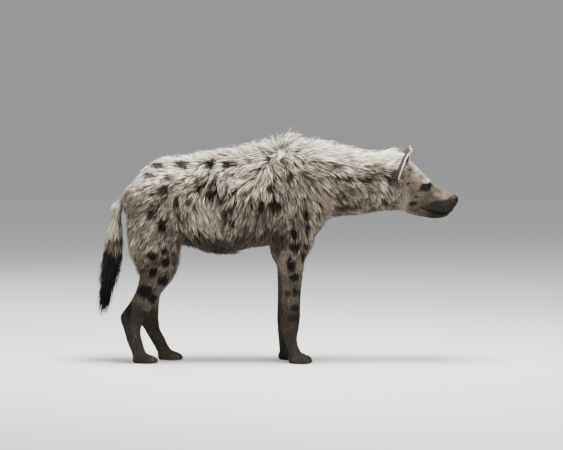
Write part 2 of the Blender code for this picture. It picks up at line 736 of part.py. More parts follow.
def keep_largest(thing):
    """Leaves only the largest closed surface of an object."""
    bm = bmesh.new()
    bm.from_mesh(thing.data)
    bmesh.ops.triangulate(bm, faces=bm.faces)
    left = set(bm.faces)
    shells = []
    while left:
        stack = [left.pop()]
        shell = set(stack)
        while stack:
            face = stack.pop()
            for edge in face.edges:
                for near in edge.link_faces:
                    if near in left:
                        left.discard(near)
                        shell.add(near)
                        stack.append(near)
        shells.append(shell)
    size = [abs(sum(f.verts[0].co.dot(f.normal) * f.calc_area() for f in s)) for s in shells]
    best = shells[size.index(max(size))]
    bmesh.ops.delete(bm, geom=[f for f in bm.faces if f not in best], context="FACES")
    loose = [v for v in bm.verts if not v.link_faces]
    bmesh.ops.delete(bm, geom=loose, context="VERTS")
    bm.to_mesh(thing.data)
    bm.free()


def wedge(name, cut, grow, reach=1.2):
    """A block that holds all that lies ahead of a slanting cut. grow moves its face back."""
    (x_top, z_top), (x_low, z_low) = cut
    run = Vector((x_low - x_top, 0, z_low - z_top)).normalized()
    ahead = Vector((-run.z, 0, run.x))
    start = Vector((x_top, 0, z_top)) - ahead * grow
    bm = bmesh.new()
    bmesh.ops.create_cube(bm, size=1.0)
    for vert in bm.verts:
        along, across, deep = vert.co
        vert.co = start + run * (deep * reach * 2) + ahead * ((along + 0.5) * reach)
        vert.co.y += across * reach
    return solid_object(name, bm)


def arch(name, size, side, low, inner_low, front_low, grow):
    """A leg's block: a rounded arch over the upper leg and a box round the leg below it."""
    bm = bmesh.new()
    middle = (size["front"] + size["back"]) / 2
    reach = (size["front"] - size["back"]) / 2 + grow
    rise = size["top"] - size["spring"] + grow
    inner, outer = size["inner"] - grow, 0.30
    points = [(middle + reach, low), (middle + reach, size["spring"])]
    for k in range(1, 16):
        turn = math.pi * k / 16
        points.append((middle + reach * math.cos(turn), size["spring"] + rise * math.sin(turn)))
    points += [(middle - reach, size["spring"]), (middle - reach, low)]
    verts = [bm.verts.new((x, side * inner, z)) for x, z in points]
    face = bm.faces.new(verts)
    made = bmesh.ops.extrude_face_region(bm, geom=[face])["geom"]
    for vert in (item for item in made if isinstance(item, bmesh.types.BMVert)):
        vert.co.y = side * outer
    upper = solid_object(name, bm)
    bm = bmesh.new()
    bmesh.ops.create_cube(bm, size=1.0)
    low_back, low_front = size["back"] - grow, front_low + grow
    low_inner = inner_low - grow
    for vert in bm.verts:
        along, across, deep = vert.co
        vert.co.x = low_back + (along + 0.5) * (low_front - low_back)
        vert.co.y = side * (low_inner + (across + 0.5) * (outer + 0.01 - low_inner))
        vert.co.z = -0.1 + (deep + 0.5) * (low + grow + 0.1)
    lower = solid_object(name + "_low", bm)
    for vert in upper.data.vertices:
        if vert.co.z < low + 1e-6:
            vert.co.z = low - 0.05
    boolean(upper, lower, "UNION")
    remove(lower)
    return upper


def slab(name, low, high):
    """A wide level block between two heights."""
    bm = bmesh.new()
    bmesh.ops.create_cube(bm, size=1.0)
    for vert in bm.verts:
        vert.co.x *= 4
        vert.co.y *= 4
        vert.co.z = low + (vert.co.z + 0.5) * (high - low)
    return solid_object(name, bm)


def side_block(name, x, towards):
    """A block that holds all that lies ahead of a level x, or behind it where towards is -1."""
    bm = bmesh.new()
    bmesh.ops.create_cube(bm, size=4.0)
    bmesh.ops.translate(bm, verts=bm.verts, vec=(x + 2.0 * towards, 0, 0))
    return solid_object(name, bm)


def split_by_block(thing, name, block, grown):
    """Takes what lies in block out of thing as a new object, with a gap between the two."""
    piece = copy_of(thing, name)
    boolean(piece, block, "INTERSECT")
    boolean(thing, grown, "DIFFERENCE")
    keep_largest(piece)
    keep_largest(thing)
    remove(block, grown)
    return piece


def part_levels(thing, names, heights):
    """Parts a leg at level cuts. names run from the top down."""
    tops = [2.0] + list(heights)
    lows = list(heights) + [-1.0]
    pieces = []
    for name, top, low in zip(names, tops, lows):
        piece = copy_of(thing, name)
        block = slab("block", low + (GAP / 2 if low > 0 else 0), top - (GAP / 2 if top < 1 else 0))
        boolean(piece, block, "INTERSECT")
        remove(block)
        keep_largest(piece)
        pieces.append(piece)
    remove(thing)
    return pieces


def trim_floor(whole):
    block = slab("floor", 0.0, 2.0)
    boolean(whole, block, "INTERSECT")
    remove(block)


def part_body(whole):
    """Parts the whole into head, neck, torso and legs."""
    trim_floor(whole)
    nodes = {}
    nodes["head"] = split_by_block(
        whole, "head", wedge("front", HEAD_CUT, 0.0), wedge("front_grown", HEAD_CUT, GAP)
    )
    for side, word in ((-1, "right"), (1, "left")):
        fore = split_by_block(
            whole,
            "fore_" + word,
            arch("block", SHOULDER, side, FORE_CROTCH, LEG_INNER, 0.150, 0.0),
            arch("grown", SHOULDER, side, FORE_CROTCH, LEG_INNER, 0.150, GAP),
        )
        names = ["shoulder_" + word, "forearm_" + word, "forepaw_" + word]
        for piece in part_levels(fore, names, (ELBOW_Z, WRIST_Z)):
            nodes[piece.name] = piece
        hind = split_by_block(
            whole,
            "hind_" + word,
            arch("block", HAUNCH, side, HIND_CROTCH, LEG_INNER, -0.300, 0.0),
            arch("grown", HAUNCH, side, HIND_CROTCH, LEG_INNER, -0.300, GAP),
        )
        names = ["thigh_" + word, "shank_" + word, "hind_pastern_" + word, "hind_paw_" + word]
        for piece in part_levels(hind, names, (KNEE_Z, HOCK_Z, HIND_PAW_Z)):
            nodes[piece.name] = piece
    nodes["neck"] = split_by_block(
        whole, "neck", wedge("front", NECK_CUT, 0.0), wedge("front_grown", NECK_CUT, GAP)
    )
    ahead = side_block("ahead", TAIL_ROOT_X, 1)
    boolean(whole, ahead, "INTERSECT")
    remove(ahead)
    keep_largest(whole)
    whole.name = "torso"
    nodes["torso"] = whole
    return nodes


def tail():
    """The tail's dock and its long tuft."""
    bm = bmesh.new()
    rows = smooth_rows(TAIL, TAIL_STEP)
    rings = []
    for i, (x, z, radius, coat) in enumerate(rows):
        before, after = rows[max(i - 1, 0)], rows[min(i + 1, len(rows) - 1)]
        along = Vector((after[0] - before[0], 0, after[1] - before[1])).normalized()
        up = Vector((-along.z, 0, along.x))
        fill = SHORT_FILL if z > TUFT_TOP + 0.03 else CORE_FILL
        size = radius - coat * (1 - fill)

        def ring(turn, x=x, z=z, up=up, size=size):
            across = Vector((0, 0.92 * size * math.cos(turn), 0))
            return Vector((x, 0, z)) + up * size * math.sin(turn) + across

        rings.append(ring)
    loft(bm, rings, TAIL_SIDES)
    whole = solid_object("tail", bm)
    group = new_group()
    tuft_locks(group, TAIL, random.Random(SEED))
    union_all(whole, group)
    behind = side_block("behind", TAIL_ROOT_X - GAP, -1)
    boolean(whole, behind, "INTERSECT")
    remove(behind)
    return part_levels(whole, ["tail_dock", "tail_tuft"], (TUFT_TOP,))


def surface_hit(tree, start, towards):
    """Where a ray meets the body: the point and the outward normal."""
    point, normal, _, _ = tree.ray_cast(Vector(start), Vector(towards))
    return point, normal


def tree_of(thing):
    bm = bmesh.new()
    bm.from_mesh(thing.data)
    made = BVHTree.FromBMesh(bm)
    bm.free()
    return made


def mirror_y(vector, side):
    return Vector((vector.x, side * vector.y, vector.z))


def basis(forward, up=Vector((0, 0, 1))):
    """A rotation whose X looks along forward, with Z as near to up as it can be."""
    x = forward.normalized()
    y = up.cross(x).normalized()
    z = x.cross(y)
    return Matrix((x, y, z)).transposed().to_4x4()


def ball_object(name, centre, radii, rotation=Matrix.Identity(4), segments=BALL_SIDES):
    bm = bmesh.new()
    matrix = Matrix.Translation(centre) @ rotation @ Matrix.Diagonal((*radii, 1.0))
    bmesh.ops.create_uvsphere(
        bm, u_segments=segments, v_segments=segments * 5 // 8, radius=1.0, matrix=matrix
    )
    return solid_object(name, bm)


def add_eyes(head, tree):
    """Eyeballs in sockets, under lids that leave an almond opening."""
    eyes = []
    for side, word in ((-1, "right"), (1, "left")):
        skin, _ = surface_hit(tree, (EYE_X, side * 0.3, EYE_Z), (0, -side, 0))
        gaze = mirror_y(EYE_GAZE, side)
        centre = skin - gaze * EYE_SINK
        turned = basis(gaze) @ Matrix.Rotation(-side * EYE_SLANT, 4, "X")
        lid_radius = EYE_RADIUS + LID_THICK
        lids = ball_object("lids", centre, (lid_radius,) * 3, turned)
        boolean(head, lids, "UNION")
        remove(lids)
        half_long, half_tall = LID_OPEN_HALF
        bm = bmesh.new()
        outline = []
        for k in range(14):
            turn = math.tau * k / 14
            rise = math.sin(turn) * half_tall * abs(math.sin(turn)) ** 0.3
            outline.append(bm.verts.new((0.0, half_long * math.cos(turn), rise)))
        face = bm.faces.new(outline)
        made = bmesh.ops.extrude_face_region(bm, geom=[face])["geom"]
        for vert in (item for item in made if isinstance(item, bmesh.types.BMVert)):
            vert.co.x = 0.04
        bmesh.ops.transform(bm, matrix=Matrix.Translation(centre) @ turned, verts=bm.verts)
        opening = solid_object("opening", bm)
        boolean(head, opening, "DIFFERENCE")
        socket = ball_object("socket", centre, (EYE_RADIUS + GAP,) * 3, turned)
        boolean(head, socket, "DIFFERENCE")
        remove(opening, socket)
        keep_largest(head)
        eyes.append(ball_object("eye_" + word, centre, (EYE_RADIUS,) * 3, turned))
    return eyes


def add_nose(head):
    """The bare nose pad, let into the muzzle, with two nostrils."""
    grown = tuple(radius + GAP for radius in NOSE_RADII)
    seat = ball_object("seat", NOSE_CENTRE, grown, segments=14)
    boolean(head, seat, "DIFFERENCE")
    remove(seat)
    keep_largest(head)
    pad = ball_object("nose", NOSE_CENTRE, NOSE_RADII, segments=14)
    for side in (-1, 1):
        turned = Matrix.Rotation(side * math.radians(-38), 4, "Z")
        hole = ball_object("hole", mirror_y(NOSTRIL, side), NOSTRIL_RADII, turned, 8)
        boolean(pad, hole, "DIFFERENCE")
        remove(hole)
    keep_largest(pad)
    return pad


def cut_mouth(head, tree):
    """The line of the lips, as one shallow groove from corner to corner."""
    path = []
    corner = Vector((0.55, 0.83, 0))
    for x, z in MOUTH_SIDE:
        skin, _ = surface_hit(tree, (x, -0.3, z), (0, 1, 0))
        out = corner if (x, z) == MOUTH_SIDE[-1] else Vector((0, 1, 0))
        path.append((skin, mirror_y(out, -1)))
    for y, z in MOUTH_FRONT:
        skin, _ = surface_hit(tree, (1.0, y, z), (-1, 0, 0))
        path.append((skin, Vector((1, y / 0.03, 0)).normalized()))
    for x, z in reversed(MOUTH_SIDE):
        skin, _ = surface_hit(tree, (x, 0.3, z), (0, -1, 0))
        path.append((skin, corner if (x, z) == MOUTH_SIDE[-1] else Vector((0, 1, 0))))
    bm = bmesh.new()
    last = len(path) - 1
    before = None
    for k, (skin, out) in enumerate(path):
        tall = MOUTH_TALL * (0.45 if k in (0, last) else 1.0) / 2
        ring = []
        for deep, rise in ((-MOUTH_DEEP, -tall), (0.012, -tall), (0.012, tall), (-MOUTH_DEEP, tall)):
            ring.append(bm.verts.new(skin + out * deep + Vector((0, 0, rise))))
        if before is None:
            bm.faces.new(ring)
        else:
            for i in range(4):
                j = (i + 1) % 4
                bm.faces.new((before[i], before[j], ring[j], ring[i]))
        before = ring
    bm.faces.new(before)
    bmesh.ops.triangulate(bm, faces=bm.faces)
    blade = solid_object("blade", bm)
    boolean(head, blade, "DIFFERENCE")
    remove(blade)
    keep_largest(head)


def ear(side, word, head):
    """A rounded cup that opens forwards and outwards, rooted on the head."""
    bm = bmesh.new()
    base, tip = mirror_y(EAR_BASE, side), mirror_y(EAR_TIP, side)
    axis = (tip - base).normalized()
    bmesh.ops.create_grid(bm, x_segments=EAR_COLUMNS, y_segments=EAR_ROWS, size=1.0)
    for vert in bm.verts:
        across = vert.co.x
        along = 1.0 - ((1.0 - vert.co.y) / 2) ** EAR_ROW_DRIFT
        opens = EAR_OPENS_BASE + (EAR_OPENS_TIP - EAR_OPENS_BASE) * along**0.7
        curl = EAR_CURL_BASE + (EAR_CURL_TIP - EAR_CURL_BASE) * along
        look = Vector((math.cos(opens), side * math.sin(opens), 0.0))
        look = (look - axis * look.dot(axis)).normalized()
        wide = axis.cross(look)
        reach = (along - EAR_WIDEST) / (1.004 - EAR_WIDEST if along > EAR_WIDEST else 0.60)
        half = EAR_HALF * math.sqrt(1.0 - abs(reach) ** EAR_ROUND)
        radius = half / math.sin(curl)
        turn = across * curl
        droop = 0.010 * across**2 * along
        vert.co = (
            base.lerp(tip, along)
            + wide * radius * math.sin(turn)
            + look * (radius * (1 - math.cos(turn)) - 0.45 * half)
            - axis * droop
        )
    bmesh.ops.triangulate(bm, faces=bm.faces, quad_method="FIXED")
    piece = solid_object("ear_" + word, bm)
    shell = piece.modifiers.new("Wall", "SOLIDIFY")
    shell.thickness = EAR_THICK
    shell.offset = 0.0
    apply_modifiers(piece)
    grown = copy_of(head, "grown")
    swell = grown.modifiers.new("Swell", "DISPLACE")
    swell.strength = GAP * 1.3
    swell.mid_level = 0.0
    apply_modifiers(grown)
    boolean(piece, grown, "DIFFERENCE")
    remove(grown)
    keep_largest(piece)
    return piece


def add_claws(piece, size, side, shift):
    """Blunt, fixed claws on the four toes."""
    radius = 0.31 * size["half"]
    for k in range(TOES):
        across = (k - (TOES - 1) / 2) / ((TOES - 1) / 2)
        back = TOE_SET_BACK * abs(across) ** 1.5
        reach = side * size["mid"] + across * (size["half"] - radius * 1.05)
        start = Vector((size["tip"] - back + shift - 0.002, reach, size["height"] * 0.36))
        bm = bmesh.new()
        matrix = Matrix.Translation(start) @ Matrix.Rotation(CLAW_PITCH, 4, "Y")
        bmesh.ops.create_cone(
            bm,
            cap_ends=True,
            segments=6,
            radius1=CLAW_THICK,
            radius2=0.0012,
            depth=CLAW_LONG,
            matrix=matrix,
        )
        claw = solid_object("claw", bm)
        boolean(piece, claw, "UNION")
        remove(claw)
    keep_largest(piece)
    level = slab("floor", 0.0, 1.0)
    boolean(piece, level, "INTERSECT")
    remove(level)


def material(name, colour, roughness, metallic=0.0):
    made = bpy.data.materials.new(name)
    made.use_nodes = True
    shader = made.node_tree.nodes["Principled BSDF"]
    shader.inputs["Base Color"].default_value = (*colour, 1.0)
    shader.inputs["Roughness"].default_value = roughness
    shader.inputs["Metallic"].default_value = metallic
    return made


def finish_head(head):
    """Ears, nose, mouth and eyes, set on the head's own surface."""
    tree = tree_of(head)
    made = [ear(side, word, head) for side, word in ((-1, "right"), (1, "left"))]
    cut_mouth(head, tree)
    made.append(add_nose(head))
    return made + add_eyes(head, tree)


def dress(nodes):
    """Gives each node its own material and hangs all of them on one empty over the floor's origin."""
    for name, piece in nodes.items():
        kind = next(key for key in LOOKS if name.startswith(key))
        piece.data.materials.clear()
        piece.data.materials.append(material(name, *LOOKS[kind]))
    corners = [vert.co.x for piece in nodes.values() for vert in piece.data.vertices]
    stand = bpy.data.objects.new("hyena", None)
    bpy.context.collection.objects.link(stand)
    stand.location.x = -(min(corners) + max(corners)) / 2
    for piece in nodes.values():
        piece.parent = stand


def main():
    clear_scene()
    whole = whole_body()
    union_all(whole, body_locks(whole))
    nodes = part_body(whole)
    for piece in tail() + finish_head(nodes["head"]):
        nodes[piece.name] = piece
    for side, word in ((-1, "right"), (1, "left")):
        add_claws(nodes["forepaw_" + word], FORE_PAW, side, leg_shift(FORE_LEAD, side, 0.0))
        add_claws(nodes["hind_paw_" + word], HIND_PAW, side, leg_shift(HIND_LEAD, side, 0.0))
    dress(nodes)


main()
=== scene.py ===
"""Spotted hyena, life size: its skin, coat, face and feet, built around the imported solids.

Metres, +X towards the nose, +Y towards the animal's left, +Z up. The tables are drawn in the
animal's own frame, and every finished piece is then moved ahead by AHEAD to where the solids stand.
"""

import json
import math

import bmesh
import bpy
import numpy as np
from mathutils import Matrix, Vector, noise
from mathutils.bvhtree import BVHTree
from mathutils.kdtree import KDTree

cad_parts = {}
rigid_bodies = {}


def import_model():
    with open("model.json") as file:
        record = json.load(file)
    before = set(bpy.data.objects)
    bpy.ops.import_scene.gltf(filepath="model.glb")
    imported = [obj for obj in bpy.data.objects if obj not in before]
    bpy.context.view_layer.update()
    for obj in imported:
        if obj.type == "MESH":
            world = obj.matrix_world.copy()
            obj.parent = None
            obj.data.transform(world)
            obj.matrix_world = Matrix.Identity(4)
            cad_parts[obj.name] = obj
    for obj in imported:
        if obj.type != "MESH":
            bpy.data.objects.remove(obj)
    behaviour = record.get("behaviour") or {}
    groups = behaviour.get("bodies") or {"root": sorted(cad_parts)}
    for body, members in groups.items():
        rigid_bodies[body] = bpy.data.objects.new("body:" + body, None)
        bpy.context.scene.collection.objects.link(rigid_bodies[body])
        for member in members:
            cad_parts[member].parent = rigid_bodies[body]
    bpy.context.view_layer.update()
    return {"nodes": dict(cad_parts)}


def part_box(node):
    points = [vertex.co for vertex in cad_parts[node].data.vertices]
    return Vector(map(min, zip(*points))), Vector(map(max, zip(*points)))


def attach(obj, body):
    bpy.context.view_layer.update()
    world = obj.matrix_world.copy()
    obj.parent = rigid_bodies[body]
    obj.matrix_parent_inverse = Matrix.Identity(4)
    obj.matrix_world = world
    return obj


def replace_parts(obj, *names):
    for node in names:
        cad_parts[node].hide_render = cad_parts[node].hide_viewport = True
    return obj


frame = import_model()

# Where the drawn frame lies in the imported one, read from the nose
DRAWN_NOSE_X = 0.6355
nose_low, nose_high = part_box("nose")
AHEAD = (nose_low.x + nose_high.x) / 2 - DRAWN_NOSE_X

# The photograph's view
PIXEL = 0.0036
IMAGE_WIDTH = 563
VIEW_CENTRE = Vector((0.0126, 0.0, 0.493))
VIEW_RISE = math.radians(3.8)
VIEW_DISTANCE = 14.0
SENSOR = 36.0

# Detail of the skin
VOXEL = 0.0051
OUTLINE_VOXEL = 0.008
FINE_ROUNDS = 4
BROAD_ROUNDS = 34
RING_SIDES = 40
RING_STEP = 0.012
BODY_BARE = 1.0
HEAD_BARE = 0.4
THINNEST = 0.002
DOUBLES = 0.00004
# Corners are finer ahead of one place, under one height and near the eyes
FINE_AHEAD, FINE_UNDER, FINE_NEAR_EYES = 0.485, 0.042, 0.030
# Where the forms blend broadly: the start and reach of the change over the feet, behind the head
# and ahead of the tail
OVER_FEET, BEHIND_HEAD, BEFORE_TAIL = (0.20, 0.14), (-0.46, 0.08), (-0.575, 0.02)

# Units of the tables: millimetres, and hundredths for shares, tones and strengths
MM, CENT = 1000, 100
BODY_UNITS = (MM, MM, MM, MM, CENT, MM, MM, MM)
MARK_UNITS = (MM, MM, MM, MM, CENT)


def table(units, rows):
    """A table's rows, turned from its units into metres and shares."""
    return [tuple(value / unit for value, unit in zip(row, units)) for row in rows]


# Outlines with the coat on. x, top, low, half width, height of the widest place as a share,
# then the coat's depth on top, below and at the side.
TRUNK = table(BODY_UNITS, [
    (-556, 616, 562, 30, 50, 10, 10, 8), (-535, 640, 520, 62, 50, 14, 12, 12),
    (-495, 681, 482, 90, 55, 16, 14, 16), (-450, 719, 452, 106, 55, 18, 16, 20),
    (-390, 740, 414, 112, 50, 22, 30, 22), (-300, 745, 396, 115, 45, 26, 32, 26),
    (-235, 760, 384, 123, 42, 36, 33, 28), (-170, 772, 387, 131, 42, 40, 28, 28),
    (-100, 782, 406, 134, 42, 40, 16, 26), (-30, 802, 418, 130, 42, 46, 12, 24),
    (24, 836, 418, 120, 42, 62, 12, 24), (75, 810, 416, 110, 42, 44, 14, 22),
    (110, 800, 424, 106, 45, 42, 20, 22), (140, 785, 450, 94, 50, 40, 22, 22),
    (165, 745, 500, 72, 50, 30, 22, 22), (180, 700, 550, 40, 50, 20, 20, 14),
])
NECK = table(BODY_UNITS, [
    (60, 808, 470, 108, 50, 44, 16, 22), (120, 801, 495, 107, 50, 44, 18, 22),
    (180, 792, 514, 101, 50, 44, 18, 20), (240, 776, 523, 91, 50, 42, 16, 18),
    (300, 762, 527, 81, 50, 38, 14, 16), (360, 757, 536, 78, 50, 36, 13, 14),
    (405, 759, 541, 78, 50, 34, 12, 14), (440, 748, 543, 79, 50, 26, 10, 12),
    (462, 728, 546, 76, 50, 18, 10, 10),
])
SKULL = table(BODY_UNITS, [
    (400, 742, 547, 68, 50, 14, 10, 10), (440, 740, 543, 80, 48, 14, 9, 9),
    (465, 729, 539, 88, 46, 10, 8, 8), (487, 714, 533, 91, 45, 8, 6, 7),
    (507, 696, 529, 86, 44, 6, 5, 6), (527, 677, 527, 74, 42, 5, 4, 5),
    (546, 660, 527, 60, 40, 4, 4, 4), (560, 642, 528, 51, 38, 4, 3, 4),
    (574, 629, 530, 47, 38, 3, 3, 3), (594, 620, 532, 45.5, 40, 3, 3, 3),
    (612, 610, 539, 43.5, 44, 3, 2, 3), (627, 602, 550, 37, 50, 2, 2, 2),
    (638, 596, 561, 28, 52, 1, 1, 1), (645, 590, 570, 16, 54, 1, 1, 1),
])
JAW = table(BODY_UNITS, [
    (470, 600, 533, 62, 50, 6, 6, 6), (500, 585, 526, 60, 50, 5, 5, 5),
    (530, 570, 521, 50, 50, 4, 4, 4), (560, 556, 517, 43, 50, 3, 3, 3),
    (588, 548, 519, 38, 50, 3, 3, 3), (604, 545, 524, 31, 50, 2, 2, 2),
    (614, 542, 531, 18, 50, 1, 1, 1),
])
CHEST_FORMS = [
    ((0.100, 0.0, 0.560), (0.072, 0.098, 0.110)),
    ((0.066, 0.0, 0.482), (0.070, 0.088, 0.070)),
]
CHEST_COAT = 0.016
# Cheek, cheekbone, brow, muzzle corner and jaw muscle of the left side: middle, radii and pitch
HEAD_FORMS = [
    ((0.478, 0.060, 0.597), (0.044, 0.029, 0.046), 0.35),
    ((0.506, 0.062, 0.620), (0.038, 0.018, 0.018), 0.30),
    ((0.520, 0.040, 0.654), (0.030, 0.020, 0.015), 0.62),
    ((0.597, 0.026, 0.560), (0.036, 0.021, 0.028), 0.10),
    ((0.440, 0.054, 0.668), (0.024, 0.020, 0.034), -0.20),
]
HEAD_FORM_COAT = 0.003

# Outlines of a right leg, level by level. z, back, front, distance of its middle from the
# midline, half thickness, coat at back and front, coat at the side.
FORE_LEG = table([MM] * 7, [
    (700, 8, 70, 60, 22, 14, 14), (630, -18, 112, 74, 44, 20, 22), (560, -24, 138, 78, 50, 20, 22),
    (490, -28, 143, 80, 50, 20, 20), (440, -29, 133, 80, 48, 17, 18),
    (405, -27, 120, 79, 44, 14, 14), (375, -15, 103, 77, 38, 8, 8), (345, 4, 97, 76, 33, 4.5, 4.5),
    (300, 9, 90, 75, 30, 3.5, 3.5), (250, 9, 85, 74, 28, 3, 3), (200, 7.5, 82, 73, 26.5, 3, 3),
    (160, 7, 80, 72, 28, 2.5, 2.5), (130, 9, 77, 72, 28, 2.5, 2.5),
    (105, 13.5, 72, 72, 25.5, 2.5, 2.5), (80, 21, 71, 72, 24, 4, 4), (55, 30, 78, 72, 26, 4, 4),
    (32, 37, 90, 72, 29, 4, 4), (12, 38, 96, 72, 28, 3, 3),
])
HIND_LEG = table([MM] * 7, [
    (685, -470, -392, 46, 22, 12, 12), (640, -524, -356, 58, 46, 18, 20),
    (560, -546, -340, 66, 56, 16, 20), (490, -550, -332, 69, 57, 19, 20),
    (430, -549, -332, 71, 55, 24, 18), (385, -540, -338, 72, 50, 26, 15),
    (350, -520, -342, 72, 44, 22, 11), (315, -506, -361, 71, 38, 12, 7),
    (282, -506, -390, 70, 34, 6, 5), (250, -517, -417, 69, 31, 4, 4),
    (220, -533, -437, 68, 28, 3, 3), (192, -553, -456, 67, 26, 3, 3),
    (168, -568, -473, 66, 25, 2.5, 2.5), (140, -562, -486, 66, 24, 2.5, 2.5),
    (110, -552, -492, 66, 22, 2.5, 2.5), (80, -544, -485, 66, 22, 2.5, 2.5),
    (52, -534, -477, 66, 24, 4, 4), (32, -526, -464, 66, 26, 4, 4), (12, -522, -455, 66, 25, 3, 3),
])
# How far each left leg stands ahead of the right one, by height: z, lead
FORE_LEAD = table([MM] * 2, [
    (0, -36), (40, -33), (80, -22), (120, -13), (200, -11), (300, -15), (360, -14), (420, -8),
    (500, 0),
])
HIND_LEAD = table([MM] * 2, [
    (0, 86), (50, 82), (80, 76), (110, 67), (140, 56), (170, 41), (200, 21), (230, 6), (260, 0),
])
FORE_PAW = {"heel": 0.036, "tip": 0.126, "mid": 0.072, "half": 0.040, "height": 0.037}
HIND_PAW = {"heel": -0.523, "tip": -0.428, "mid": 0.066, "half": 0.035, "height": 0.033}
LEGS = (("fore", FORE_LEG, FORE_LEAD, FORE_PAW), ("hind", HIND_LEG, HIND_LEAD, HIND_PAW))
# A foot's pad and toes, in shares of its length, half width and height
PAD = {"back": 0.42, "rise": 0.40, "long": 0.44, "wide": 0.86, "tall": 0.72}
TOE = {"back": 0.25, "rise": 0.33, "long": 0.27, "wide": 1.12, "tall": 0.56, "pitch": 0.16}
TOES = 4
TOE_HALF, TOE_EDGE = 0.31, 1.05
TOE_SET_BACK, TOE_FAN = 0.017, 1.5
# Grooves between the toes: their places across, where they may lie, how they fade, their depth
TOE_GAPS = (-2 / 3, 0.0, 2 / 3)
GROOVES_UNDER, GROOVES_WIDE = 0.05, 1.6
GROOVES_BACK, GROOVES_FRONT, GROOVES_FADE = -0.65, 0.2, (-0.62, 0.32)
TOE_GROOVE, TOE_GROOVE_HALF = 0.0050, 0.12
PAW_FUR, TOE_FUR_SHARE = 0.0025, 0.6
SOLE_CLEAR, SOLE_BARE = 0.0010, 0.005

# Tail: x and z of its middle, then the outline's radius and the coat's depth
TAIL = table([MM] * 4, [
    (-547, 582, 23, 10), (-556, 579, 23, 10), (-566, 572, 21.5, 10), (-576, 550, 20.5, 9),
    (-580, 515, 20.5, 9), (-583, 470, 22.5, 11), (-588, 420, 25, 15), (-597, 370, 30, 21),
    (-606, 320, 33, 25), (-611, 285, 31, 24),
])
# How far its hairs stand off, by the height of their roots
TAIL_FLARE = [(0.28, 0.45), (0.33, 0.75), (0.40, 2.2), (0.48, 2.8), (0.55, 1.1)]
TAIL_SIDES, TAIL_WIDE = 20, 0.92
# How its hairs leave the skin, lean, fall and turn in again, in shares of their length
TAIL_OFF, TAIL_LEAN, TAIL_FALL, TAIL_IN = (0.12, 0.44), 0.06, (-0.02, 0.0, -0.22), -0.55
TAIL_BEHIND, TAIL_LOW, TAIL_HALF = -0.556, 0.195, 0.038

# Lie of the coat. x, z, heading in degrees (0 ahead, -90 down) and length.
LIE = table((MM, MM, 1, MM), [
    (-540, 600, 232, 36), (-505, 655, 212, 42), (-461, 720, 196, 56), (-380, 735, 186, 58),
    (-317, 690, 200, 58), (-530, 460, 240, 42), (-443, 475, 238, 34), (-450, 580, 222, 38),
    (-371, 439, 262, 30), (-360, 580, 250, 44), (-281, 560, 296, 62), (-250, 450, 308, 62),
    (-210, 660, 262, 58), (-155, 560, 250, 60), (-119, 450, 254, 55), (-110, 700, 235, 58),
    (-47, 560, 260, 52), (43, 600, 276, 50), (30, 720, 292, 58), (133, 637, 312, 66),
    (120, 740, 330, 66), (61, 460, 272, 34), (144, 493, 285, 46), (200, 620, 306, 38),
    (220, 560, 296, 30), (280, 700, 344, 52), (300, 755, 354, 68), (300, 600, 302, 22),
    (360, 570, 292, 20), (390, 700, 344, 40), (390, 660, 326, 32), (420, 730, 350, 34),
    (440, 660, 296, 24), (445, 600, 252, 24), (440, 555, 262, 24), (465, 735, 150, 16),
    (490, 600, 206, 13), (490, 545, 216, 14), (500, 705, 142, 11), (530, 675, 140, 8),
    (530, 610, 192, 7), (530, 555, 196, 9), (560, 640, 150, 6), (570, 530, 186, 6),
    (600, 560, 182, 5), (600, 612, 162, 5), (635, 585, 172, 3), (50, 390, 268, 24),
    (50, 340, 266, 16), (45, 250, 266, 12), (45, 150, 266, 11), (50, 80, 266, 9), (85, 30, 325, 7),
    (-525, 385, 234, 40), (-430, 400, 246, 26), (-440, 330, 248, 17), (-460, 260, 246, 15),
    (-500, 190, 250, 12), (-520, 120, 274, 10), (-450, 120, 286, 10), (-510, 60, 280, 9),
    (-455, 30, 325, 7), (-380, 30, 325, 7), (-580, 540, 262, 36), (-585, 460, 265, 50),
    (-595, 400, 262, 85), (-608, 300, 258, 96),
])
LIE_REACH = 0.046
# The crest's lie is taken where the skin faces up and stands high, and it parts a little sideways
CREST_FACES, CREST_ABOVE = (0.50, 0.92), (0.45, 0.55)
CREST_PARTS, CREST_HALF, CREST_END = 0.30, 0.05, 0.42
ON_END = 0.45
# How far the coat turns aside in radians, and the size of those waves
UNRULY, PARTING = (0.30, 0.055), (1.5, 0.020)
# Along the top of the back: x, heading, length
CREST = table((MM, 1, MM), [
    (-560, 205, 45), (-500, 192, 55), (-340, 184, 62), (-230, 176, 64), (-100, 168, 66),
    (-20, 150, 44), (30, 50, 44), (100, 18, 72), (240, 4, 74), (380, 0, 60), (430, 20, 34),
    (460, 120, 18), (500, 142, 10), (640, 170, 4),
])

# The coat: how many tufts, how fine, and how they gather
LONG_TUFTS, SHORT_TUFTS, LOCKS = 57500, 59000, 3000
TUFT_HALF = 0.00120
SHORT_HALF = 0.00075
TUFT_FLAT = 0.55
LONG_STATIONS = (0.0, 0.34, 0.70, 1.0)
SHORT_STATIONS = (0.0, 0.52, 1.0)
TUFT_WIDTHS = {4: (0.72, 1.0, 0.62), 3: (0.80, 0.85)}
NORMAL_SHARE = 0.7
# How far a lock pulls its hairs together, how that grows along them, and its spread
LOCK_PULL, LOCK_EASE, LOCK_PULLS, LOCK_SPREAD = 0.80, 1.3, (0.7, 1.15), 0.22
WITHERS, WITHERS_REACH = np.array([0.010, 0.0, 0.770]), 0.100
UPRIGHT_SHARE = 0.38
BAKE_PATCH = 0.003
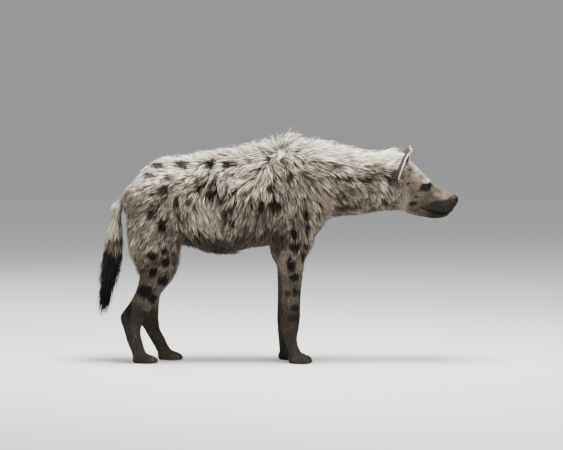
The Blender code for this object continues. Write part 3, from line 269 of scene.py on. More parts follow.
# Where the coat is long: behind the face, and above a line over the forelegs and hind legs
FACE_EDGE, LEG_EDGE = (0.425, 0.462), (-0.045, 0.035)
LEGS_PART, FORE_LINE, HIND_LINE = -0.25, 0.375, 0.335
TAIL_DENSER = 5.0
# Spread of the locks and of their hairs: turn aside, length and rise
LOCK_ASIDE, LOCK_LENGTHS, LOCK_RISES = 0.20, (0.80, 1.20), (0.82, 1.12)
HAIR_ASIDE, HAIR_LENGTHS, HAIR_RISES = 0.13, (0.72, 1.15), (0.52, 1.14)
FUR_ASIDE, FUR_LENGTHS, FUR_RISES = 0.16, (0.75, 1.20), (0.4, 1.0)
# Spread of the hairs' tone, and of their thickness
LOCK_SHADE, HAIR_SHADE, FUR_SHADE = 0.085, 0.145, 0.09
HALVES = (0.75, 1.25)
# The back, where some hairs stand upright: how far it faces up, and above which height
BACK_FACES, BACK_ABOVE, UPRIGHT_ASIDE = (0.55, 0.95), 0.6, 0.8
# The coat's least and greatest depth, and its depth on the ears
DEPTHS, EAR_DEPTH = (0.0012, 0.070), 0.0018
# Skin that faces up takes the crest's height from the trunk's and neck's tables
TOP_FACES, TOP_END, NECK_FROM = (0.70, 0.96), 0.455, 0.06
# Hairs are shortest where the long coat ends, and they rise no further than a share of their length
EDGE_LENGTHS, RISE_LIMITS, FUR_RISE_LIMIT = (0.45, 0.55), (0.55, 1.6), 0.27
# Upright hairs: their length, their pull to the lock and their rise, in shares of the others'
UPRIGHT_LENGTH, UPRIGHT_PULL, UPRIGHT_RISE = 0.4, 0.25, 1.15
# Long hairs gather more than short ones, and less on the withers
GATHER_LENGTH, GATHER_SHARES, WITHERS_LOOSE = 0.05, (0.45, 1.0), 0.75
# How the rise grows along a hair, and the length at which it has its full thickness
RISE_EASE, FUR_EASE = 1.7, 1.6
FULL_LENGTH, FULL_SHARES, FUR_FULL_LENGTH, FUR_FULL_SHARES = 0.045, (0.6, 1.35), 0.009, (0.55, 1.4)
# The fur is denser on the face, the muzzle and the ears, and a little broader on the feet
FACE_DENSER, MUZZLE_DENSER, EAR_DENSER = (1.2, 0.47, 0.50), (1.0, 0.54, 0.57), 2.0
FEET_BROADER = (0.25, 0.16, 0.10)
EAR_ABOVE, ON_EAR, EAR_HAIR = 0.655, 0.0012, 0.0060
# The skin's place along a hair, which sets its painted shade: where it is bare, and how much less
# under the long coat, where that shade is deeper
BARE_SKIN_SHADE, UNDER_COAT_SHADE = 0.40, 0.18
# How deep the roots are sunk
ROOT_SUNK, FUR_SUNK = 0.0015, 0.0006
SEED = 11

# Face
EYE_RADIUS = 0.0120
EYE_GAZE = Vector((0.60, 0.79, 0.08)).normalized()
EYE_SLANT = math.radians(16)
LID_THICK = 0.0030
LID_OPEN_HALF = (0.0116, 0.0078)
LID_POINTS, LID_ROUND = 36, 0.3
LID_CUT, SOCKET_GAP = 0.04, 0.0002
RIM_OFF, RIM_HALF, RIM_FLAT, RIM_SIDES = 0.0012, 0.0014, 1.5, 8
IRIS_EDGE, PUPIL_EDGE = 0.62, 0.24
CORNEA_FROM, CORNEA_BULGE = 0.80, 0.05
EYE_BARE, NOSE_BARE = 0.0038, 0.0015
NOSE_CENTRE = Vector((0.6322, 0.0, 0.5850))
NOSE_RADII = (0.0165, 0.0285, 0.0165)
NOSE_SEAT, NOSE_BLUNT = 0.0012, 0.86
NOSTRIL = Vector((0.6455, 0.0130, 0.5835))
NOSTRIL_RADII = (0.0090, 0.0050, 0.0065)
NOSTRIL_SLIT = Vector((0.6410, 0.0212, 0.5800))
SLIT_RADII = (0.0110, 0.0045, 0.0022)
NOSTRIL_TURN = math.radians(-38)
# Groove down the nose's middle and the swelling of its wings: depth, half width and place
NOSE_GROOVE, NOSE_GROOVE_HALF, NOSE_GROOVE_FROM = 0.07, 0.07, (-0.5, 0.3)
NOSE_WING, NOSE_WING_HALF, NOSE_WING_AT = 0.06, 0.25, 0.75
MOUTH_SIDE = table([MM] * 2, [
    (519, 563), (533, 554.5), (551, 547), (572, 539.5), (590, 537), (604, 538.5),
])
MOUTH_FRONT = table([MM] * 2, [
    (-18, 543), (-8, 548), (0, 550.5), (8, 548), (18, 543),
])
MOUTH_DEEP, MOUTH_TALL, MOUTH_OUT = 0.0050, 0.0034, 0.012
MOUTH_FRONT_OUT, MOUTH_ROUND, MOUTH_END = Vector((0.55, 0.83, 0)), 0.03, 0.45
LIP_STEPS = 8
LIPS_BARE, LIPS_DARK = 0.0026, 0.0060
EAR_BASE = Vector((0.4270, 0.0560, 0.6380))
EAR_TIP = Vector((0.4790, 0.0880, 0.7680))
EAR_OPENS_BASE, EAR_OPENS_TIP = math.radians(29), math.radians(11)
EAR_HALF = 0.0390
EAR_WIDEST, EAR_ROUND = 0.52, 2.9
EAR_ROWS, EAR_COLUMNS, EAR_ROW_DRIFT = 34, 20, 1.5
EAR_THICK = 0.0036
EAR_END, EAR_ROOT, EAR_SET_IN = 1.004, 0.60, 0.45
EAR_OPENS_EASE, EAR_DROOP, EAR_RIM_ABOVE = 0.7, 0.010, 0.66
EAR_CURL_BASE, EAR_CURL_TIP = math.radians(78), math.radians(30)
CLAW_LONG, CLAW_THICK = 0.0135, 0.0044
CLAW_PITCH = math.radians(32)
CLAW_RINGS, CLAW_SIDES, CLAW_BEND = 6, 12, 0.0025
CLAW_TAPER, CLAW_EASE, CLAW_WIDE = 0.82, 1.3, 0.78
CLAW_BACK, CLAW_RISE = 0.003, 0.36
# Whiskers: rows and hairs in a row, their first place, then steps to the next hair and row
WHISKER_ROWS, WHISKER_COUNT = 4, 5
WHISKER_X, WHISKER_X_STEP, WHISKER_X_ROW = 0.618, 0.011, 0.001
WHISKER_Z, WHISKER_Z_ROW, WHISKER_Z_STEP = 0.571, 0.0055, 0.002
WHISKER_LONG, WHISKER_LONGER, WHISKER_HALF = 0.030, 0.006, 0.00030
WHISKER_TONE = (0.02, 0.018, 0.016)
# Their way back and out, its spread, how far it follows the skin's normal, their droop and root
WHISKER_WAY, WHISKER_SPREAD, WHISKER_OUT = (-0.55, 0.75, -0.30), 0.12, 0.4
WHISKER_DROOP, WHISKER_SUNK = (-0.35, 0.0, -0.25), 0.001

# Tone of the coat by place, 0 black to 1 white, a few rows of it painted shade: x, z, reach, tone
TONES_AND_PAINTED_SHADE = table((MM, MM, MM, CENT), [
    (-500, 660, 50, 84), (-440, 705, 50, 88), (-360, 730, 50, 88), (-280, 735, 50, 80),
    (-200, 740, 50, 70), (-110, 750, 50, 70), (0, 790, 50, 98), (90, 770, 50, 84),
    (200, 770, 45, 94), (320, 755, 40, 100), (410, 735, 35, 96), (100, 700, 45, 40),
    (250, 700, 35, 66), (350, 690, 30, 46), (270, 620, 45, 46), (360, 610, 40, 58),
    (300, 550, 35, 46), (400, 550, 30, 42), (230, 532, 16, 30), (330, 535, 16, 22),
    # (412, 692) and (408, 654) darken the neck behind the ear: partly its own dark fur, partly painted
    # shade
    (400, 540, 12, 32), (412, 692, 15, 20), (408, 654, 17, 22), (445, 640, 30, 46),
    (450, 575, 30, 52), (490, 690, 25, 49), (500, 620, 25, 38), (490, 570, 18, 30),
    (540, 660, 20, 43), (570, 620, 18, 32), (610, 605, 16, 44), (530, 570, 20, 34),
    (-520, 570, 45, 45), (-430, 600, 50, 45), (-330, 620, 45, 58), (-240, 620, 45, 52),
    (-150, 640, 45, 58), (-60, 650, 45, 60), (30, 660, 45, 44), (100, 600, 45, 50),
    (-460, 470, 50, 52), (-380, 480, 45, 39), (-290, 500, 35, 58), (-170, 520, 45, 46),
    (-80, 520, 45, 37), (60, 500, 45, 40), (120, 470, 35, 45), (-220, 405, 28, 19),
    (-120, 420, 28, 26), (-10, 430, 30, 24), (-300, 420, 32, 24), (-420, 330, 40, 35),
    (-480, 260, 35, 32), (-530, 180, 30, 20), (-490, 120, 30, 22), (-470, 40, 30, 24),
    (-400, 40, 30, 27), (50, 380, 35, 44), (50, 270, 45, 33), (50, 160, 40, 23), (60, 100, 30, 24),
    # (-566, 500) and (-570, 450) are painted shadow: a dark line down the tail's edge next to the rump
    (75, 30, 30, 24), (-578, 570, 20, 80), (-592, 490, 22, 78), (-566, 500, 13, 36),
    (-570, 450, 13, 30), (-590, 440, 18, 46), (-598, 392, 22, 9), (-612, 290, 40, 6),
])
# Spots of the right side: x, z, half length, half height, strength
SPOTS = table(MARK_UNITS, [
    (-432, 709, 22, 9, 70), (-349, 716, 22, 11, 85), (-468, 677, 13, 9, 70), (-396, 666, 11, 9, 70),
    (-245, 718, 17, 19, 100), (-184, 715, 13, 13, 85), (-281, 655, 18, 16, 50),
    (-234, 650, 12, 11, 80), (-292, 623, 12, 14, 90), (-234, 605, 19, 17, 100),
    (-205, 590, 14, 13, 75), (-162, 608, 14, 11, 75), (-414, 619, 17, 13, 70),
    (-364, 576, 10, 19, 85), (-454, 536, 13, 15, 75), (-414, 493, 12, 22, 85),
    (-320, 576, 7, 10, 75), (-169, 554, 9, 15, 75), (-191, 529, 10, 12, 75),
    (-166, 504, 10, 13, 75), (-115, 612, 10, 13, 65), (-72, 691, 10, 10, 70),
    (-42, 732, 13, 13, 80), (-25, 626, 12, 20, 90), (-12, 566, 18, 16, 100), (-60, 562, 10, 19, 90),
    (-407, 403, 10, 10, 90), (-454, 385, 17, 12, 80), (-403, 364, 13, 13, 95),
    (-410, 306, 15, 14, 95), (-446, 331, 12, 12, 90), (-472, 266, 23, 20, 100),
    (-443, 238, 16, 16, 100), (-475, 180, 14, 12, 70), (-533, 194, 9, 25, 70),
    (101, 529, 9, 15, 80), (108, 482, 9, 19, 85), (58, 464, 10, 17, 85), (61, 418, 15, 14, 95),
    (104, 421, 11, 10, 85), (47, 360, 12, 19, 95), (94, 382, 9, 13, 80), (58, 320, 15, 13, 100),
    (61, 266, 8, 15, 75), (36, 259, 9, 9, 70), (61, 205, 13, 11, 75), (54, 169, 18, 11, 70),
    (79, 259, 7, 12, 70), (385, 572, 10, 9, 70), (-108, 728, 12, 11, 60), (22, 722, 14, 16, 65),
    (46, 668, 11, 18, 55), (200, 702, 36, 16, 50), (315, 672, 26, 20, 40), (250, 555, 42, 9, 55),
    (235, 664, 40, 7, 70), (320, 658, 34, 6, 65),
])
# Marks of the face, alike on both sides
FACE_MARKS = table(MARK_UNITS, [
    (531, 631, 16, 11.2, 100), (553, 639, 14, 7, 90), (490, 580, 12, 7, 55), (500, 603, 6, 4, 50),
    (512, 622, 5, 4, 50), (470, 655, 7, 5, 50), (480, 690, 6, 5, 40), (515, 668, 6, 4, 35),
])
FACE_TONE = 0.02
# A painted highlight on the brow ridge, and the pale front of the cheek
BROW_HIGHLIGHT_AND_PALE_CHEEK = table(MARK_UNITS, [
    (534, 652, 12, 6, 58), (573, 605, 10, 6, 22),
])
HIGHLIGHT_AND_PALE_TONE = 0.78
# Upper edge of the dark muzzle: x and z
MUZZLE_EDGE = table([MM] * 2, [
    (520, 562), (545, 577), (570, 585), (605, 588), (620, 598), (645, 604),
])
MUZZLE_TONE, LIP_TONE = 0.13, 0.02
SPOT_TONE = 0.06
SPOT_SOFT = (1.46, 0.90)
SPOT_WANDER, SPOT_SIZES = (0.030, 0.020), (0.8, 1.2)
# Soft noises over the tones, the spots' edges and the muzzle: how much, and the size of its waves
TONE_NOISE, SPOT_NOISE, EDGE_NOISE, MUZZLE_NOISE = (0.050, 0.028), (0.22, 0.012), (0.003, 0.010), 0.006
# On the legs' edges, blotches take the place of the spots
SPOTTED_LEGS, EDGEWAYS, BLOTCH_SIZE, BLOTCH_TONE = (0.50, 0.42), (0.60, 0.25), 0.024, 0.75
BLOTCH_SOFT, BLOTCH_OUT = (0.30, 0.48), (-0.7, -0.2)
# How far from the midline the brow's painted highlight and pale cheek, and the face's marks, begin
BROW_ASIDE, MASK_ASIDE = (0.008, 0.026), (0.018, 0.034)
MUZZLE_SOFT, MUZZLE_FROM, MUZZLE_SHARE = (0.005, -0.007), (0.515, 0.565), 0.85
LIPS_AHEAD, LIPS_UNDER = 0.50, 0.59
EAR_TONE, EAR_LOW_TONE, EAR_RIM_TONE = 0.16, 0.10, 0.56
EAR_RIM_SOFT, EAR_BACK = (0.0060, 0.0022), (0.66, 0.70)
# The coat's colour for a tone, from dark to pale: tone, red, green, blue
PELT = [
    (0.00, 0.0025, 0.0022, 0.0020),
    (0.10, 0.0080, 0.0066, 0.0055),
    (0.25, 0.0370, 0.0300, 0.0235),
    (0.40, 0.1150, 0.0940, 0.0725),
    (0.55, 0.2600, 0.2180, 0.1700),
    (0.70, 0.4600, 0.3980, 0.3200),
    (0.85, 0.6800, 0.6150, 0.5200),
    (1.00, 0.8700, 0.8200, 0.7400),
]

# Studio: lamps by name, place, size, power and colour
LAMPS = (
    ("top", (0.2, -0.3, 3.2), 1.3, 500, (1.0, 0.98, 0.95)),
    ("front", (1.6, -3.4, 2.0), 2.0, 120, (1.0, 0.98, 0.96)),
    ("back", (-2.2, 2.6, 2.4), 2.0, 110, (0.95, 0.97, 1.0)),
)
LAMPS_AIM = Vector((0, 0, 0.5))
FLOOR_HALF, FLOOR_COLOUR = 400.0, (0.50, 0.50, 0.495, 1)
SKY_COLOUR, SKY_STRENGTH = (0.88, 0.89, 0.91, 1), 0.70

RIGHT, LEFT = -1, 1
SIDES = ((RIGHT, "right"), (LEFT, "left"))
FAR_ASIDE = 0.3


def middle_of(node):
    """The middle of one of the solids, in the drawn frame."""
    low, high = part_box(node)
    middle = (low + high) / 2
    middle.x -= AHEAD
    return middle


EYES = {word: middle_of("eye_" + word) for _, word in SIDES}


def placed(name, data):
    """A new object of the scene."""
    thing = bpy.data.objects.new(name, data)
    bpy.context.scene.collection.objects.link(thing)
    return thing


def object_of(name, bm):
    """A new mesh object with outward faces."""
    bmesh.ops.recalc_face_normals(bm, faces=bm.faces)
    mesh = bpy.data.meshes.new(name)
    bm.to_mesh(mesh)
    bm.free()
    return placed(name, mesh)


def opened(piece):
    """The piece's mesh, open for work."""
    bm = bmesh.new()
    bm.from_mesh(piece.data)
    return bm


def store(bm, piece):
    """Writes the worked mesh back to its piece."""
    bm.to_mesh(piece.data)
    bm.free()


def apply_modifiers(piece):
    graph = bpy.context.evaluated_depsgraph_get()
    mesh = bpy.data.meshes.new_from_object(piece.evaluated_get(graph))
    piece.modifiers.clear()
    piece.data = mesh


def boolean(target, other, operation):
    cut = target.modifiers.new("Join", "BOOLEAN")
    cut.operation = operation
    cut.object = other
    cut.solver = "MANIFOLD"
    apply_modifiers(target)
    bpy.data.objects.remove(other, do_unlink=True)


def tree_of(piece):
    """A finder of the nearest place on a piece."""
    bm = opened(piece)
    made = BVHTree.FromBMesh(bm)
    bm.free()
    return made


def near_points(points):
    """A quick finder of the nearest of some points."""
    finder = KDTree(len(points))
    for i, place in enumerate(points):
        finder.insert(place, i)
    finder.balance()
    return finder


def from_side(tree, side, x, z):
    """The skin's place and normal at x and z, seen from one side."""
    return tree.ray_cast(Vector((x, side * FAR_ASIDE, z)), Vector((0, -side, 0)))[:2]


def side_of(vector, side):
    """The vector's twin on one side of the animal."""
    return Vector((vector.x, side * vector.y, vector.z))


def smooth_step(value, start, end):
    """A smooth change from 0 at the start to 1 at the end, for arrays."""
    share = np.clip((np.asarray(value, float) - start) / (end - start), 0.0, 1.0)
    return share * share * (3 - 2 * share)


def ramp(value, start, reach):
    """A straight change from 0 at the start to 1 past its reach, for one number."""
    return min(max((value - start) / reach, 0.0), 1.0)


# Body forms


def smooth_rows(rows, step):
    """Rows run through a smooth curve, so that they lie about one step apart."""
    points = [np.array(row, float) for row in rows]
    made = []
    for i in range(len(points) - 1):
        before = points[max(i - 1, 0)]
        after = points[min(i + 2, len(points) - 1)]
        here, there = points[i], points[i + 1]
        square = 2 * before - 5 * here + 4 * there - after
        cube = 3 * here - before - 3 * there + after
        count = max(1, round(float(np.linalg.norm((there - here)[:2])) / step))
        for k in range(count):
            t = k / count
            made.append(0.5 * (2 * here + (there - before) * t + square * t**2 + cube * t**3))
    made.append(points[-1])
    return made


def loft(bm, rings, sides):
    """A closed tube through the rings. A ring is a function that takes a turn in radians."""
    turn = bm.verts.layers.float.get("turn") or bm.verts.layers.float.new("turn")
    circle = bmesh.ops.create_circle(bm, segments=sides, radius=1.0)["verts"]
    for vert in circle:
        vert[turn] = math.atan2(vert.co.y, vert.co.x)
        vert.co = rings[0](vert[turn])
    edges = list({edge for vert in circle for edge in vert.link_edges})
    bmesh.ops.contextual_create(bm, geom=edges)
    for ring in rings[1:]:
        made = bmesh.ops.extrude_edge_only(bm, edges=edges)["geom"]
        fresh = {item for item in made if isinstance(item, bmesh.types.BMVert)}
        for vert in fresh:
            vert.co = ring(vert[turn])
        edges = [
            item
            for item in made
            if isinstance(item, bmesh.types.BMEdge) and fresh.issuperset(item.verts)
        ]
    bmesh.ops.contextual_create(bm, geom=edges)


def body_ring(row, bare):
    """An upright ring of the trunk, neck or head, with a share of the coat's depth taken off."""
    x, top, low, half, wide, coat_top, coat_low, coat_side = row
    top -= coat_top * bare
    low += coat_low * bare
    half = max(half - coat_side * bare, THINNEST)
    middle = low + (top - low) * wide

    def ring(turn):
        rise = math.sin(turn)
        reach = top - middle if rise > 0 else middle - low
        return Vector((x, half * math.cos(turn), middle + reach * rise))

    return ring


def leg_shift(lead, side, z):
    """How far forward a leg stands at a height. Only left legs are set off from the tables."""
    if side == RIGHT:
        return 0.0
    return float(np.interp(z, [row[0] for row in lead], [row[1] for row in lead]))


def leg_ring(row, side, lead, bare):
    z, back, front, mid, half, coat_edge, coat_side = row
    back += coat_edge * bare
    front -= coat_edge * bare
    half = max(half - coat_side * bare, THINNEST)
    middle, reach = (back + front) / 2 + leg_shift(lead, side, z), (front - back) / 2

    def ring(turn):
        return Vector((middle + reach * math.cos(turn), side * mid + half * math.sin(turn), z))

    return ring


def round_ring(centre, up, size, wide):
    """A ring across the midline. Its half width is a share of its height."""

    def ring(turn):
        across = Vector((0, wide * size * math.cos(turn), 0))
        return centre + up * size * math.sin(turn) + across

    return ring


def tail_rings(bare):
    rows = smooth_rows(TAIL, RING_STEP)
    rings = []
    for i, (x, z, radius, coat) in enumerate(rows):
        before, after = rows[max(i - 1, 0)], rows[min(i + 1, len(rows) - 1)]
        along = Vector((after[0] - before[0], 0, after[1] - before[1])).normalized()
        up = Vector((-along.z, 0, along.x))
        rings.append(round_ring(Vector((x, 0, z)), up, radius - coat * bare, TAIL_WIDE))
    return rings


def pitch(tilt):
    """A turn of the nose down by tilt radians."""
    return Matrix.Rotation(tilt, 4, "Y")


def ball(bm, centre, radii, turn=Matrix.Identity(4), segments=28, rings=14):
    """An ellipsoid, turned about its centre."""
    matrix = Matrix.Translation(centre) @ turn @ Matrix.Diagonal((*radii, 1.0))
    bmesh.ops.create_uvsphere(
        bm, u_segments=segments, v_segments=rings, radius=1.0, matrix=matrix
    )


def toes(size, side):
    """Each toe of a foot: how far it is set back, and the y of its middle."""
    radius = TOE_HALF * size["half"]
    for k in range(TOES):
        across = (k - (TOES - 1) / 2) / ((TOES - 1) / 2)
        back = TOE_SET_BACK * abs(across) ** TOE_FAN
        yield back, side * size["mid"] + across * (size["half"] - radius * TOE_EDGE)


def paw(bm, size, side, shift, bare):
    """A foot: a low pad and four toes that fan out a little."""
    length, half, height = size["tip"] - size["heel"], size["half"], size["height"]
    thin = PAW_FUR * bare
    ball(
        bm,
        (size["heel"] + PAD["back"] * length + shift, side * size["mid"], height * PAD["rise"]),
        (PAD["long"] * length - thin, PAD["wide"] * half - thin, height * PAD["tall"] - thin),
    )
    radii = (
        TOE["long"] * length - thin,
        TOE_HALF * half * TOE["wide"] - thin * TOE_FUR_SHARE,
        height * TOE["tall"] - thin,
    )
    for back, y in toes(size, side):
        place = (size["tip"] - TOE["back"] * length - back + shift, y, height * TOE["rise"])
        ball(bm, place, radii, pitch(TOE["pitch"]))


def head_forms(bm, bare):
    """Cheeks, brows, jaw muscle and muzzle corners on both sides of the skull."""
    thin = HEAD_FORM_COAT * bare
    for side, _ in SIDES:
        for centre, radii, tilt in HEAD_FORMS:
            ball(bm, side_of(Vector(centre), side), [r - thin for r in radii], pitch(tilt))


def whole_form(name, bare, head_bare, voxel):
    """The whole animal but for the ears, as one closed and blended surface."""
    bm = bmesh.new()
    head_forms(bm, head_bare)
    for centre, radii in CHEST_FORMS:
        ball(bm, Vector(centre), [r - CHEST_COAT * bare for r in radii])
    for side, _ in SIDES:
        for _, _, lead, foot in LEGS:
            paw(bm, foot, side, leg_shift(lead, side, 0.0), bare)
    for rows, off in ((TRUNK, bare), (NECK, bare), (SKULL, head_bare), (JAW, head_bare)):
        loft(bm, [body_ring(row, off) for row in smooth_rows(rows, RING_STEP)], RING_SIDES)
    for side, _ in SIDES:
        for _, rows, lead, _ in LEGS:
            rows = smooth_rows(rows, RING_STEP)
            loft(bm, [leg_ring(row, side, lead, bare) for row in rows], RING_SIDES)
    loft(bm, tail_rings(bare), TAIL_SIDES)
    whole = object_of(name, bm)
    blend = whole.modifiers.new("Blend", "REMESH")
    blend.mode = "VOXEL"
    blend.voxel_size = voxel
    apply_modifiers(whole)
    broad = whole.vertex_groups.new(name="broad")
    for vert in whole.data.vertices:
        broad.add([vert.index], broad_share(vert.co), "REPLACE")
    for title, rounds, group in (("Soften", FINE_ROUNDS, ""), ("Join", BROAD_ROUNDS, "broad")):
        soften = whole.modifiers.new(title, "SMOOTH")
        soften.factor = 0.5
        soften.iterations = rounds
        soften.vertex_group = group
    apply_modifiers(whole)
    return whole


def broad_share(point):
    """1 on the trunk and the upper legs, 0 on the head, the feet and the tail."""
    over_feet = ramp(point.z, *OVER_FEET)
    behind_head = ramp(-point.x, *BEHIND_HEAD)
    before_tail = ramp(point.x, *BEFORE_TAIL)
    return over_feet * behind_head * before_tail


def refine(piece, inside):
    """Splits the faces that inside says, and softens the new corners."""
    bm = opened(piece)
    edges = {edge for face in bm.faces if inside(face.calc_center_median()) for edge in face.edges}
    bmesh.ops.subdivide_edges(bm, edges=list(edges), cuts=1, use_grid_fill=True)
    verts = [vert for vert in bm.verts if inside(vert.co)]
    for _ in range(2):
        bmesh.ops.smooth_vert(
            bm, verts=verts, factor=0.5, use_axis_x=True, use_axis_y=True, use_axis_z=True
        )
    store(bm, piece)


# Face


def gaze_frame(side):
    """A turn whose X looks out of the eye and whose Y lies along the slanted lids."""
    x = side_of(EYE_GAZE, side)
    y = Vector((0, 0, 1)).cross(x).normalized()
    turn = Matrix((x, y, x.cross(y))).transposed().to_4x4()
    return turn @ Matrix.Rotation(-side * EYE_SLANT, 4, "X")


def lid_outline():
    """The almond between the lids, as places across and up."""
    half_long, half_tall = LID_OPEN_HALF
    for k in range(LID_POINTS):
        turn = math.tau * k / LID_POINTS
        rise = math.sin(turn) * half_tall * abs(math.sin(turn)) ** LID_ROUND
        yield half_long * math.cos(turn), rise


def ball_piece(name, centre, radii, turn=Matrix.Identity(4), segments=32):
    bm = bmesh.new()
    ball(bm, centre, radii, turn, segments, segments * 3 // 4)
    return object_of(name, bm)


def bridge(bm, rings):
    """Faces between each ring of corners and the next."""
    for before, ring in zip(rings, rings[1:]):
        for i in range(len(ring)):
            j = (i + 1) % len(ring)
            bm.faces.new((before[i], before[j], ring[j], ring[i]))


def open_lids(skin):
    """Lids over each eye, with an almond opening and a socket behind it."""
    for side, word in SIDES:
        centre, turn = EYES[word], gaze_frame(side)
        boolean(skin, ball_piece("lids", centre, (EYE_RADIUS + LID_THICK,) * 3, turn), "UNION")
        bm = bmesh.new()
        face = bm.faces.new([bm.verts.new((0.0, y, z)) for y, z in lid_outline()])
        made = bmesh.ops.extrude_face_region(bm, geom=[face])["geom"]
        for vert in (item for item in made if isinstance(item, bmesh.types.BMVert)):
            vert.co.x = LID_CUT
        bmesh.ops.transform(bm, matrix=Matrix.Translation(centre) @ turn, verts=bm.verts)
        boolean(skin, object_of("opening", bm), "DIFFERENCE")
        socket = ball_piece("socket", centre, (EYE_RADIUS + SOCKET_GAP,) * 3, turn)
        boolean(skin, socket, "DIFFERENCE")


def cut_mouth(skin):
    """The line of the lips, as one shallow groove from corner to corner."""
    tree = tree_of(skin)
    path = []
    for side, row in ((RIGHT, MOUTH_SIDE), (LEFT, MOUTH_SIDE[::-1])):
        for x, z in row:
            out = MOUTH_FRONT_OUT if (x, z) == MOUTH_SIDE[-1] else Vector((0, 1, 0))
            path.append((from_side(tree, side, x, z)[0], side_of(out, side)))
        if side == RIGHT:
            for y, z in MOUTH_FRONT:
                found = tree.ray_cast(Vector((1.0, y, z)), Vector((-1, 0, 0)))[0]
                path.append((found, Vector((1, y / MOUTH_ROUND, 0)).normalized()))
    bm = bmesh.new()
    rings = []
    for k, (place, out) in enumerate(path):
        tall = MOUTH_TALL * (MOUTH_END if k in (0, len(path) - 1) else 1.0) / 2
        corners = ((-MOUTH_DEEP, -tall), (MOUTH_OUT, -tall), (MOUTH_OUT, tall), (-MOUTH_DEEP, tall))
        corners = [place + out * deep + Vector((0, 0, rise)) for deep, rise in corners]
        rings.append([bm.verts.new(corner) for corner in corners])
    bm.faces.new(rings[0])
    bridge(bm, rings)
    bm.faces.new(rings[-1])
    bmesh.ops.triangulate(bm, faces=bm.faces)
    boolean(skin, object_of("blade", bm), "DIFFERENCE")
    places = [place for place, _ in path]
    return [a.lerp(b, k / LIP_STEPS) for a, b in zip(places, places[1:]) for k in range(LIP_STEPS)]


def ear(side, word):
    """A rounded cup that opens forwards and outwards, with its root inside the head."""
    bm = bmesh.new()
    base, tip = side_of(EAR_BASE, side), side_of(EAR_TIP, side)
    axis = (tip - base).normalized()
    bmesh.ops.create_grid(bm, x_segments=EAR_COLUMNS, y_segments=EAR_ROWS, size=1.0)
    for vert in bm.verts:
        across = vert.co.x
        along = 1.0 - ((1.0 - vert.co.y) / 2) ** EAR_ROW_DRIFT
        opens = EAR_OPENS_BASE + (EAR_OPENS_TIP - EAR_OPENS_BASE) * along**EAR_OPENS_EASE
        curl = EAR_CURL_BASE + (EAR_CURL_TIP - EAR_CURL_BASE) * along
        look = Vector((math.cos(opens), side * math.sin(opens), 0.0))
        look = (look - axis * look.dot(axis)).normalized()
        wide = axis.cross(look)
        reach = (along - EAR_WIDEST) / (EAR_END - EAR_WIDEST if along > EAR_WIDEST else EAR_ROOT)
        half = EAR_HALF * math.sqrt(1.0 - abs(reach) ** EAR_ROUND)
        radius = half / math.sin(curl)
        turn = across * curl
        droop = EAR_DROOP * across**2 * along
        vert.co = (
            base.lerp(tip, along)
            + wide * radius * math.sin(turn)
            + look * (radius * (1 - math.cos(turn)) - EAR_SET_IN * half)
            - axis * droop
        )
    rim = [vert.co.copy() for vert in bm.verts if vert.is_boundary and vert.co.z > EAR_RIM_ABOVE]
    piece = object_of("ear_" + word, bm)
    wall = piece.modifiers.new("Wall", "SOLIDIFY")
    wall.thickness = EAR_THICK
    wall.offset = 0.0
    apply_modifiers(piece)
    return piece, rim


def near_eye(point):
    return min((point - eye).length for eye in EYES.values()) < FINE_NEAR_EYES


def part_toes(skin):
    """Grooves between the four toes of each foot, and a flat sole."""
    refine(skin, lambda point: point.z < FINE_UNDER)
    bm = opened(skin)
    low = [vert for vert in bm.verts if vert.co.z < GROOVES_UNDER]
    for side, _ in SIDES:
        for _, _, lead, size in LEGS:
            tip = size["tip"] + leg_shift(lead, side, 0.0)
            long = size["tip"] - size["heel"]
            reach = size["half"] * (1 - TOE_HALF * TOE_EDGE)
            for vert in low:
                ahead = (vert.co.x - tip) / long
                across = (vert.co.y - side * size["mid"]) / reach
                if abs(across) > GROOVES_WIDE or not GROOVES_BACK < ahead < GROOVES_FRONT:
                    continue
                off = min(abs(across - gap) for gap in TOE_GAPS)
                groove = math.exp(-((off / TOE_GROOVE_HALF) ** 2))
                vert.co -= vert.normal * TOE_GROOVE * groove * ramp(ahead, *GROOVES_FADE)
    for vert in low:
        vert.co.z = max(vert.co.z, 0.0)
    store(bm, skin)


def build_skin():
    """The one skin of the animal, with its ears, lids, toes, seat of the nose and line of the mouth.

    It comes with the shells of its ears, and finders for the ears' rims and the lips.
    """
    skin = whole_form("skin", BODY_BARE, HEAD_BARE, VOXEL)
    refine(skin, lambda point: point.x > FINE_AHEAD)
    refine(skin, near_eye)
    part_toes(skin)
    trees, rims = [], []
    for side, word in SIDES:
        piece, rim = ear(side, word)
        trees.append(tree_of(piece))
        rims += rim
        boolean(skin, piece, "UNION")
    lips = cut_mouth(skin)
    seat = ball_piece("seat", NOSE_CENTRE, [radius + NOSE_SEAT for radius in NOSE_RADII])
    boolean(skin, seat, "DIFFERENCE")
    open_lids(skin)
    bm = opened(skin)
    bmesh.ops.triangulate(bm, faces=[face for face in bm.faces if len(face.verts) > 4])
    bmesh.ops.remove_doubles(bm, verts=bm.verts, dist=DOUBLES)
    store(bm, skin)
    return skin, trees, {"rims": near_points(rims), "lips": near_points(lips)}


# Coat


def unit(ways):
    """Rows of vectors brought to length one."""
    return ways / np.linalg.norm(ways, axis=1, keepdims=True)


